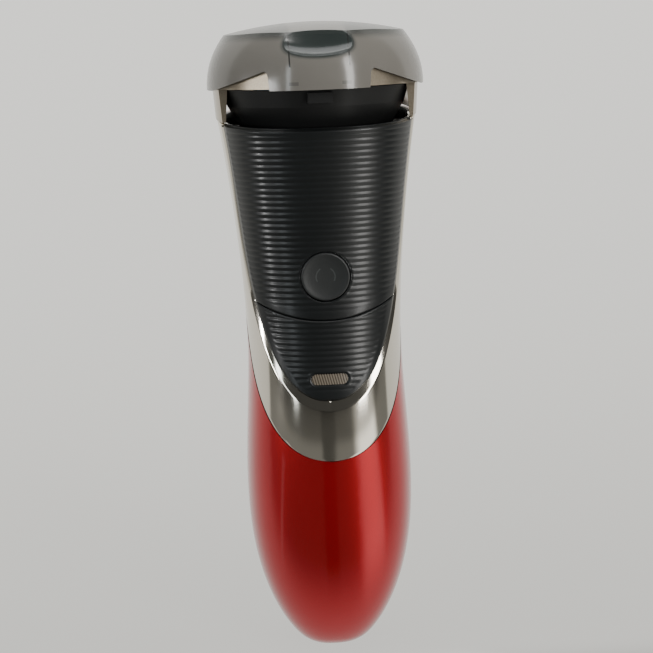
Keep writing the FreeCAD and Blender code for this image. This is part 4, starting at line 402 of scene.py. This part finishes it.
def rubber():
    """Soft black grip with small raised dots and a dusty bloom."""
    f = Finish("grip_rubber")
    x, _, z = f.axes()
    dots = f.math("SINE", x * 3900.0) * f.math("SINE", z * 3900.0)
    raised = f.step(dots, 0.1, 0.7)
    bloom = f.noise(70.0, 4.0)
    return f.surface(Base_Color=f.mix(bloom * 0.6 + raised * 0.3, colour(17, 17, 18), colour(38, 38, 39)),
                     Roughness=0.62 + bloom * 0.2, Normal=f.bump(raised + f.noise(1600.0) * 0.1, 0.6, 0.0004))


def circuit_green():
    """Green solder mask with pale traces under it."""
    f = Finish("circuit_green")
    x, _, z = f.axes()
    trace = ((f.math("SINE", x * 2400.0) > 0.82) + (f.math("SINE", z * 1900.0 + f.noise(90.0) * 6.0) > 0.9)) * 0.5
    return f.surface(Base_Color=f.mix(trace, colour(16, 66, 36), colour(44, 112, 62)), Roughness=0.28 + trace * 0.15,
                     Coat_Weight=0.4, Normal=f.bump(trace, 0.3, 0.00015))


def cell_wrap():
    """Printed shrink wrap of the battery cell: plain blue with a soft wrinkle."""
    f = Finish("cell_wrap_film")
    wrinkle = f.noise(170.0, 3.0, (1, 1, 0.2))
    return f.surface(Base_Color=f.mix(wrinkle, colour(24, 58, 118), colour(40, 84, 152)),
                     Roughness=0.25 + wrinkle * 0.15, Coat_Weight=0.5, Normal=f.bump(wrinkle, 0.2, 0.0004))


FINISHES = {
    "red": red_lacquer(),
    "chrome": chrome_plate(),
    "panel": black_moulding("panel_plastic", colour(6, 8, 8), colour(12, 16, 17), 0.32, 1300.0, 0.06, 0.2),
    "black": black_moulding("black_plastic", colour(8, 8, 8), colour(16, 17, 17), 0.42),
    "inner": black_moulding("inner_plastic", colour(40, 41, 43), colour(56, 58, 60), 0.5, 1100.0),
    "gear": black_moulding("gear_plastic", colour(206, 202, 190), colour(222, 219, 208), 0.38, 1700.0, 0.06),
    "carrier": black_moulding("carrier_plastic", colour(32, 64, 96), colour(44, 84, 120), 0.4, 1500.0),
    "clear": black_moulding("guide_plastic", colour(190, 196, 196), colour(212, 218, 218), 0.18, 900.0, 0.04),
    "button": button_plastic(),
    "window": window_plastic(),
    "smoke": smoke_plastic(),
    "silver": silver_paint(),
    "steel": steel("bright_steel", colour(150, 150, 148), colour(206, 206, 204), 0.2, (1, 1, 0.15)),
    "foil": steel("guard_steel", colour(160, 160, 158), colour(214, 213, 210), 0.16),
    "magnet": steel("magnet_black", colour(40, 40, 42), colour(62, 62, 64), 0.45),
    "brass": steel("brass_metal", colour(176, 140, 74), colour(212, 178, 104), 0.24),
    "rubber": rubber(),
    "board": circuit_green(),
    "cell": cell_wrap(),
}

NODE_FINISHES = {
    "red": ["red_shell"],
    "window": ["charge_window"],
    "rubber": ["rear_grip", "spindle_seals"],
    "black": ["trimmer_housing", "trimmer_cover", "trimmer_slider", "charging_socket", "hair_chamber", "head_holder",
              "top_deck", "motor_end_cap", "tact_switch", "board_components", "internal_leads"],
    "inner": ["inner_frame", "gearbox_plate"],
    "gear": ["drive_pinion", "drive_gear_1", "drive_gear_2", "drive_gear_3", "drive_spindle_1", "drive_spindle_2",
             "drive_spindle_3"],
    "carrier": ["cutter_carrier_1", "cutter_carrier_2", "cutter_carrier_3"],
    "clear": ["light_guide", "charge_led"],
    "smoke": ["protective_cap"],
    "silver": ["head_frame", "head_ring_1", "head_ring_2", "head_ring_3"],
    "steel": ["motor_can", "motor_shaft", "motor_screws", "gear_axles", "deck_screws", "head_hinge_pin",
              "trimmer_hinge_pin", "trimmer_comb", "trimmer_blade", "rotor_core", "cutter_1", "cutter_2", "cutter_3",
              "battery_tabs"],
    "foil": ["guard_1", "guard_2", "guard_3"],
    "magnet": ["motor_magnets"],
    "brass": ["charging_contacts", "motor_terminals"],
    "board": ["circuit_board"],
    "cell": ["battery_cell"],
}


def dress_nodes():
    """Puts each finish in the material slots of the CAD nodes that carry it."""
    for finish, names in NODE_FINISHES.items():
        for name in names:
            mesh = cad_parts[name].data
            if not mesh.materials:
                mesh.materials.append(None)
            for i in range(len(mesh.materials)):
                mesh.materials[i] = FINISHES[finish]


# ---------------------------------------------------------------- ribbed panels

def seam_height(x):
    """Height of the curved seam between the two panels: a parabola."""
    return SEAM_MIDDLE + SEAM_RISE * (x / SEAM_SPAN) ** 2


def panel_plate(low, high, rows, relief):
    """A panel on the handle's front between the heights low(x) and high(x).

    Across: x = u * panel width at that height. Up: z = low + v * (high - low). The surface is the handle's front
    taken in by relief(x, z), and the inner face is a wall behind it. x and z are settled in a few rounds.
    """
    columns = PANEL_COLUMNS
    u = np.sin(np.linspace(-1, 1, columns) * np.pi / 2)[None, :] * np.ones((rows, 1))
    v = np.linspace(0, 1, rows)[:, None] * np.ones((1, columns))
    z = np.full((rows, columns), 110.0)
    for _ in range(12):
        x = u * (panel_width(z) - SEAM_GAP / 2)
        z = 0.5 * z + 0.5 * (low(x, z) + v * (high(x, z) - low(x, z)))
    x = u * np.maximum(panel_width(z) - SEAM_GAP / 2, 0)
    outer = np.stack([x, front_y(x, z, relief(x, z)), z], -1)
    x_inner = x * PANEL_INNER_SHARE
    inner = np.stack([x_inner, front_y(x_inner, z, PANEL_WALL), z], -1)
    return closed_plate(outer, inner)


def edge_distance(x, z):
    """Distance in from the side edge of the panel, measured across."""
    return panel_width(z) - np.abs(x)


def upper_relief(x, z):
    """Ribs that fade at the sides, round the button and above the seam, a rounded edge all round and a top lip."""
    from_button = np.hypot(x, z - BUTTON_Z) - BUTTON_RADIUS
    above_seam = z - seam_height(x)
    below_top = shoulder_z(front_y(x, z)) - z
    share = (smooth(0.25, 1.0, edge_distance(x, z)) * smooth(0.3, 1.1, from_button) * smooth(1.3, 3.4, above_seam)
             * smooth(1.3, 1.9, below_top))
    ribs = RIB_DEPTH * rib_profile(z, UPPER_RIB_Z, UPPER_RIB_PITCH) * share
    edge = 0.35 * (1 - smooth(0.0, 0.7, edge_distance(x, z))) + 0.3 * (1 - smooth(0.0, 0.5, above_seam))
    return ribs + edge + 0.9 * (1 - smooth(0.0, 1.2, below_top)) ** 2 + 0.25 * (1 - smooth(0.1, 0.5, from_button))


def lower_relief(x, z):
    """Ribs inside a smooth rim that follows the U, and a shallow pocket round the window."""
    beside = np.maximum(np.abs(x) - (WINDOW_LENGTH - WINDOW_HEIGHT) / 2, 0)
    from_window = np.hypot(beside, z - WINDOW_Z) - WINDOW_HEIGHT / 2
    rim = np.minimum(edge_distance(x, z), 0.8 * (z - PANEL_TIP))
    below_seam = seam_height(x) - z
    share = smooth(1.5, 3.0, rim) * smooth(0.6, 1.2, from_window) * smooth(0.5, 1.0, below_seam)
    ribs = RIB_DEPTH * rib_profile(z, LOWER_RIB_Z, LOWER_RIB_PITCH) * share
    edge = 0.35 * (1 - smooth(0.0, 0.6, rim)) + 0.3 * (1 - smooth(0.0, 0.4, below_seam))
    return ribs + edge + 0.2 * (1 - smooth(0.05, 0.4, from_window))


def bore(piece, outline):
    """Cuts a hole along Y through a piece, its outline given as x and z in millimetres."""
    count = len(outline)
    rings = np.stack([np.column_stack([outline[:, 0], np.full(count, y), outline[:, 1]]) for y in (BORE_FROM, BORE_TO)])
    faces = [tuple(face) for face in grid_faces(2, count, wrap_columns=True).tolist()]
    faces += [tuple(range(count)), tuple(range(2 * count - 1, count - 1, -1))]
    mesh = bpy.data.meshes.new("bore")
    mesh.from_pydata((rings.reshape(-1, 3) * MM).tolist(), [], faces)
    cutter = bpy.data.objects.new("bore", mesh)
    bpy.context.scene.collection.objects.link(cutter)
    modifier = piece.modifiers.new("bore", "BOOLEAN")
    modifier.operation, modifier.solver, modifier.object = "DIFFERENCE", "EXACT", cutter
    depsgraph = bpy.context.evaluated_depsgraph_get()
    cut_mesh = bpy.data.meshes.new_from_object(piece.evaluated_get(depsgraph))
    piece.modifiers.clear()
    piece.data = cut_mesh
    bpy.data.objects.remove(cutter)


def pill(length, height, middle):
    """Outline of a pill in x and z: two half circles of radius height / 2 joined by straight runs."""
    radius, half = height / 2, (length - height) / 2
    turn = np.linspace(-np.pi / 2, np.pi / 2, PILL_POINTS)
    right = np.column_stack([half + radius * np.cos(turn), middle + radius * np.sin(turn)])
    return np.concatenate([right, np.column_stack([-right[::-1, 0], right[::-1, 1]])])


def add_panels():
    """The two ribbed panels in place of the plain ones, with the holes for the button and the charge window."""
    points, faces = panel_plate(lambda x, z: seam_height(x) + SEAM_GAP / 2, lambda x, z: shoulder_z(front_y(x, z)),
                                UPPER_ROWS, upper_relief)
    upper = mesh_piece("upper_panel_ribbed", points, faces, FINISHES["panel"], "handle",
                       ["upper_front_panel"])
    turn = np.linspace(0, 2 * np.pi, TURN_POINTS + 1)[:-1]
    radius = BUTTON_RADIUS + BUTTON_GAP
    bore(upper, np.column_stack([radius * np.cos(turn), BUTTON_Z + radius * np.sin(turn)]))
    points, faces = panel_plate(lambda x, z: PANEL_TIP + SEAM_GAP + 0 * x, lambda x, z: seam_height(x) - SEAM_GAP / 2,
                                LOWER_ROWS, lower_relief)
    lower = mesh_piece("lower_panel_ribbed", points, faces, FINISHES["panel"], "handle",
                       ["lower_front_panel"])
    bore(lower, pill(WINDOW_LENGTH, WINDOW_HEIGHT, WINDOW_Z))


def add_trim():
    """Chrome trim between the panel's U and its own, with a bevelled lip along the panel.

    r runs from the inner to the outer outline and s along the U. Height: z = tip + (top - tip) * s^2. Angle round
    the section: acos(sqrt((x / half width)^squareness)). Both are blended linearly in r, and the surface is taken
    in by the lip near r = 0.
    """
    s = np.linspace(-1, 1, TRIM_COLUMNS)[:, None]
    r = np.concatenate([np.linspace(0, 0.14, 8), np.linspace(0.155, 0.98, 30), [0.993, 1.0]])[None, :]

    def outline(width, tip, top, grow):
        z = tip + (top - tip) * s * s
        share = np.clip((width(z) + grow * np.minimum(1, np.abs(s) * 20)) / half_width(z), 0, 1)
        angle = np.arccos(np.sqrt(share ** SQUARENESS))
        return z, np.where(s < 0, np.pi - angle, angle)

    z_in, angle_in = outline(panel_width, PANEL_TIP - SEAM_GAP, TRIM_TOP_INNER, SEAM_GAP)
    z_out, angle_out = outline(trim_width, TRIM_TIP, TRIM_TOP_OUTER, 0.0)
    z = z_in + (z_out - z_in) * r
    angle = angle_in + (angle_out - angle_in) * r

    def face(inset):
        x = (half_width(z) - inset) * np.sign(np.cos(angle)) * np.abs(np.cos(angle)) ** (2 / SQUARENESS)
        return np.stack([x, -(front_depth(z) - inset) * np.sin(angle) ** (2 / SQUARENESS), z], -1)

    lip = TRIM_LIP * np.clip(1 - r / LIP_SHARE, 0, 1) + 0.12 * smooth(0.985, 1.0, r)
    points, faces = closed_plate(face(lip * np.ones_like(z)), face(np.full_like(z, TRIM_WALL)))
    mesh_piece("chrome_band", points, faces, FINISHES["chrome"], "handle", ["chrome_trim"])


def add_button():
    """The dished power button: a profile of radius and height turned round its axis, which points forwards."""
    turn = np.linspace(0, 2 * np.pi, TURN_POINTS + 1)[:-1]
    face = float(front_depth(np.array(BUTTON_Z))) + 0.15
    back = BUTTON_BACK
    profile = np.array([(0.0, face - 0.42), (2.2, face - 0.40), (4.0, face - 0.30), (5.0, face - 0.14),
                        (5.45, face - 0.02), (5.62, face), (5.8, face - 0.02), (5.96, face - 0.14),
                        (6.05, face - 0.4), (6.05, back + 0.6), (6.85, back + 0.6), (6.85, back), (0.0, back)])
    radius, height = profile[:, 0][:, None], profile[:, 1][:, None]
    points = np.stack([radius * np.cos(turn), -height + 0 * turn, BUTTON_Z + radius * np.sin(turn)], -1)
    faces = grid_faces(len(profile), len(turn), wrap_columns=True)
    mesh_piece("power_button_cap", points.reshape(-1, 3), faces, FINISHES["button"], "power_button",
               ["power_button"])


# ---------------------------------------------------------------- studio

def add_studio():
    """A pale sweep behind and under the shaver that glows by emission as painted light, with painted light pools, a
    painted light strip, painted shade and a painted dark bar on the floor in front for the shaver to reflect; soft
    lights and the camera.
    """
    f = Finish("sweep_paper_painted_light")
    x, y, z = f.axes()
    # Painted light: the sweep glows by emission, and its colour runs darker at the floor's front and lighter up the
    # wall.
    level = f.node("ShaderNodeMapRange", {}, {0: y + z, 1: 0.0, 2: 0.47})
    tone = f.mix(level, colour(183, 182, 177), colour(213, 212, 207))
    # Painted shade on the floor in front of the shaver. A painted light pool to the right and a painted light strip to
    # the left lift it, and a painted dark bar straight ahead and far in front deepen it. The shaver reflects these as
    # painted reflections.
    painted_shade_ahead = f.step(y, -0.012, -0.05)
    painted_far_fade = f.step(y, -0.24, -0.34)
    slant = x / f.math("MAXIMUM", 0.01 - y, 0.01)
    painted_dark_bar = f.step(abs(slant), 0.09, 0.05)
    painted_light_pool = f.step(slant, 0.36, 0.6) * f.step(slant, 1.7, 1.2)
    painted_light_strip = f.step(slant, -1.62, -1.5) * f.step(slant, -1.28, -1.4) * f.step(y, -0.13, -0.11)
    painted_shade = 0.8 - painted_light_pool * 2.2 * (1 - painted_far_fade * 0.7) - painted_light_strip + painted_far_fade * 0.15 + painted_dark_bar * 0.19
    light = f.math("MAXIMUM", 1 - painted_shade_ahead * painted_shade, SWEEP_DARKEST_PAINTED_SHADE)
    painted_glow = f.node("ShaderNodeEmission", {}, {"Color": tone, "Strength": light * SWEEP_PAINTED_GLOW})
    paper = f.node("ShaderNodeBsdfDiffuse", {}, {"Color": tone})
    f.node_out(f.node("ShaderNodeMixShader", {}, {0: SWEEP_DIFFUSE, 1: painted_glow, 2: paper}))
    across = np.linspace(-SWEEP_HALF, SWEEP_HALF, 3)
    floor = [(SWEEP_FRONT, 0.0), (SWEEP_BEND, 0.0)]
    radius = SWEEP_WALL - SWEEP_BEND
    bend = [(SWEEP_BEND + radius * math.sin(a), radius - radius * math.cos(a))
            for a in np.linspace(0, np.pi / 2, 13)[1:]]
    line = np.array(floor + bend + [(SWEEP_WALL, SWEEP_TOP)])
    points = np.array([[(x, y, z) for x in across] for y, z in line]).reshape(-1, 3)
    mesh = bpy.data.meshes.new("sweep")
    mesh.from_pydata(points.tolist(), [], grid_faces(len(line), len(across)).tolist())
    mesh.polygons.foreach_set("use_smooth", np.ones(len(mesh.polygons), bool))
    sweep = bpy.data.objects.new("sweep", mesh)
    bpy.context.scene.collection.objects.link(sweep)
    mesh.materials.append(f.material)

    world = bpy.data.worlds.new("soft_room")
    world.use_nodes = True
    world.node_tree.nodes["Background"].inputs["Color"].default_value = colour(196, 196, 192)
    world.node_tree.nodes["Background"].inputs["Strength"].default_value = ROOM_GLOW
    bpy.context.scene.world = world

    def softbox(name, place, size, power, tint=(1, 1, 1)):
        """An area light turned to the middle of the shaver."""
        light = bpy.data.lights.new(name, "AREA")
        light.shape, light.size, light.size_y, light.energy, light.color = "RECTANGLE", size[0], size[1], power, tint
        lamp = bpy.data.objects.new(name, light)
        turned = (Vector((0, 0, 0.09)) - Vector(place)).to_track_quat("-Z", "Y").to_matrix().to_4x4()
        lamp.matrix_world = Matrix.Translation(place) @ turned
        bpy.context.scene.collection.objects.link(lamp)

    softbox("window_light", (0.50, -0.62, 0.34), (0.22, 0.7), 7.0, tint=(1.0, 0.985, 0.96))
    softbox("left_strip", (-0.62, -0.34, 0.16), (0.05, 0.16), 1.6)
    softbox("overhead", (0.0, -0.05, 0.8), (0.7, 0.5), 4.0)
    softbox("left_fill", (-0.55, -0.75, 0.3), (0.12, 0.6), 1.5, tint=(0.9, 0.97, 1.0))
    softbox("rear_fill", (0.3, 0.8, 0.5), (0.6, 0.6), 6.0)

    lens = bpy.data.cameras.new("camera")
    lens.lens, lens.sensor_width, lens.shift_x, lens.clip_start = CAMERA_LENS, 36.0, CAMERA_SHIFT, 0.01
    camera = bpy.data.objects.new("camera", lens)
    azimuth, pitch, roll = CAMERA_AZIMUTH, CAMERA_PITCH, CAMERA_ROLL
    place = Vector((CAMERA_DISTANCE * math.sin(azimuth), -CAMERA_DISTANCE * math.cos(azimuth), CAMERA_HEIGHT))
    forward = Vector((-math.sin(azimuth) * math.cos(pitch), math.cos(azimuth) * math.cos(pitch), -math.sin(pitch)))
    right = forward.cross(Vector((0, 0, 1))).normalized()
    up = right.cross(forward)
    tilted_up = up * math.cos(roll) - right * math.sin(roll)
    tilted_right = right * math.cos(roll) + up * math.sin(roll)
    turn = Matrix((tilted_right, tilted_up, -forward)).transposed()
    camera.matrix_world = Matrix.Translation(place) @ turn.to_4x4()
    bpy.context.scene.collection.objects.link(camera)
    bpy.context.scene.camera = camera


dress_nodes()
add_panels()
add_trim()
add_button()
add_studio()
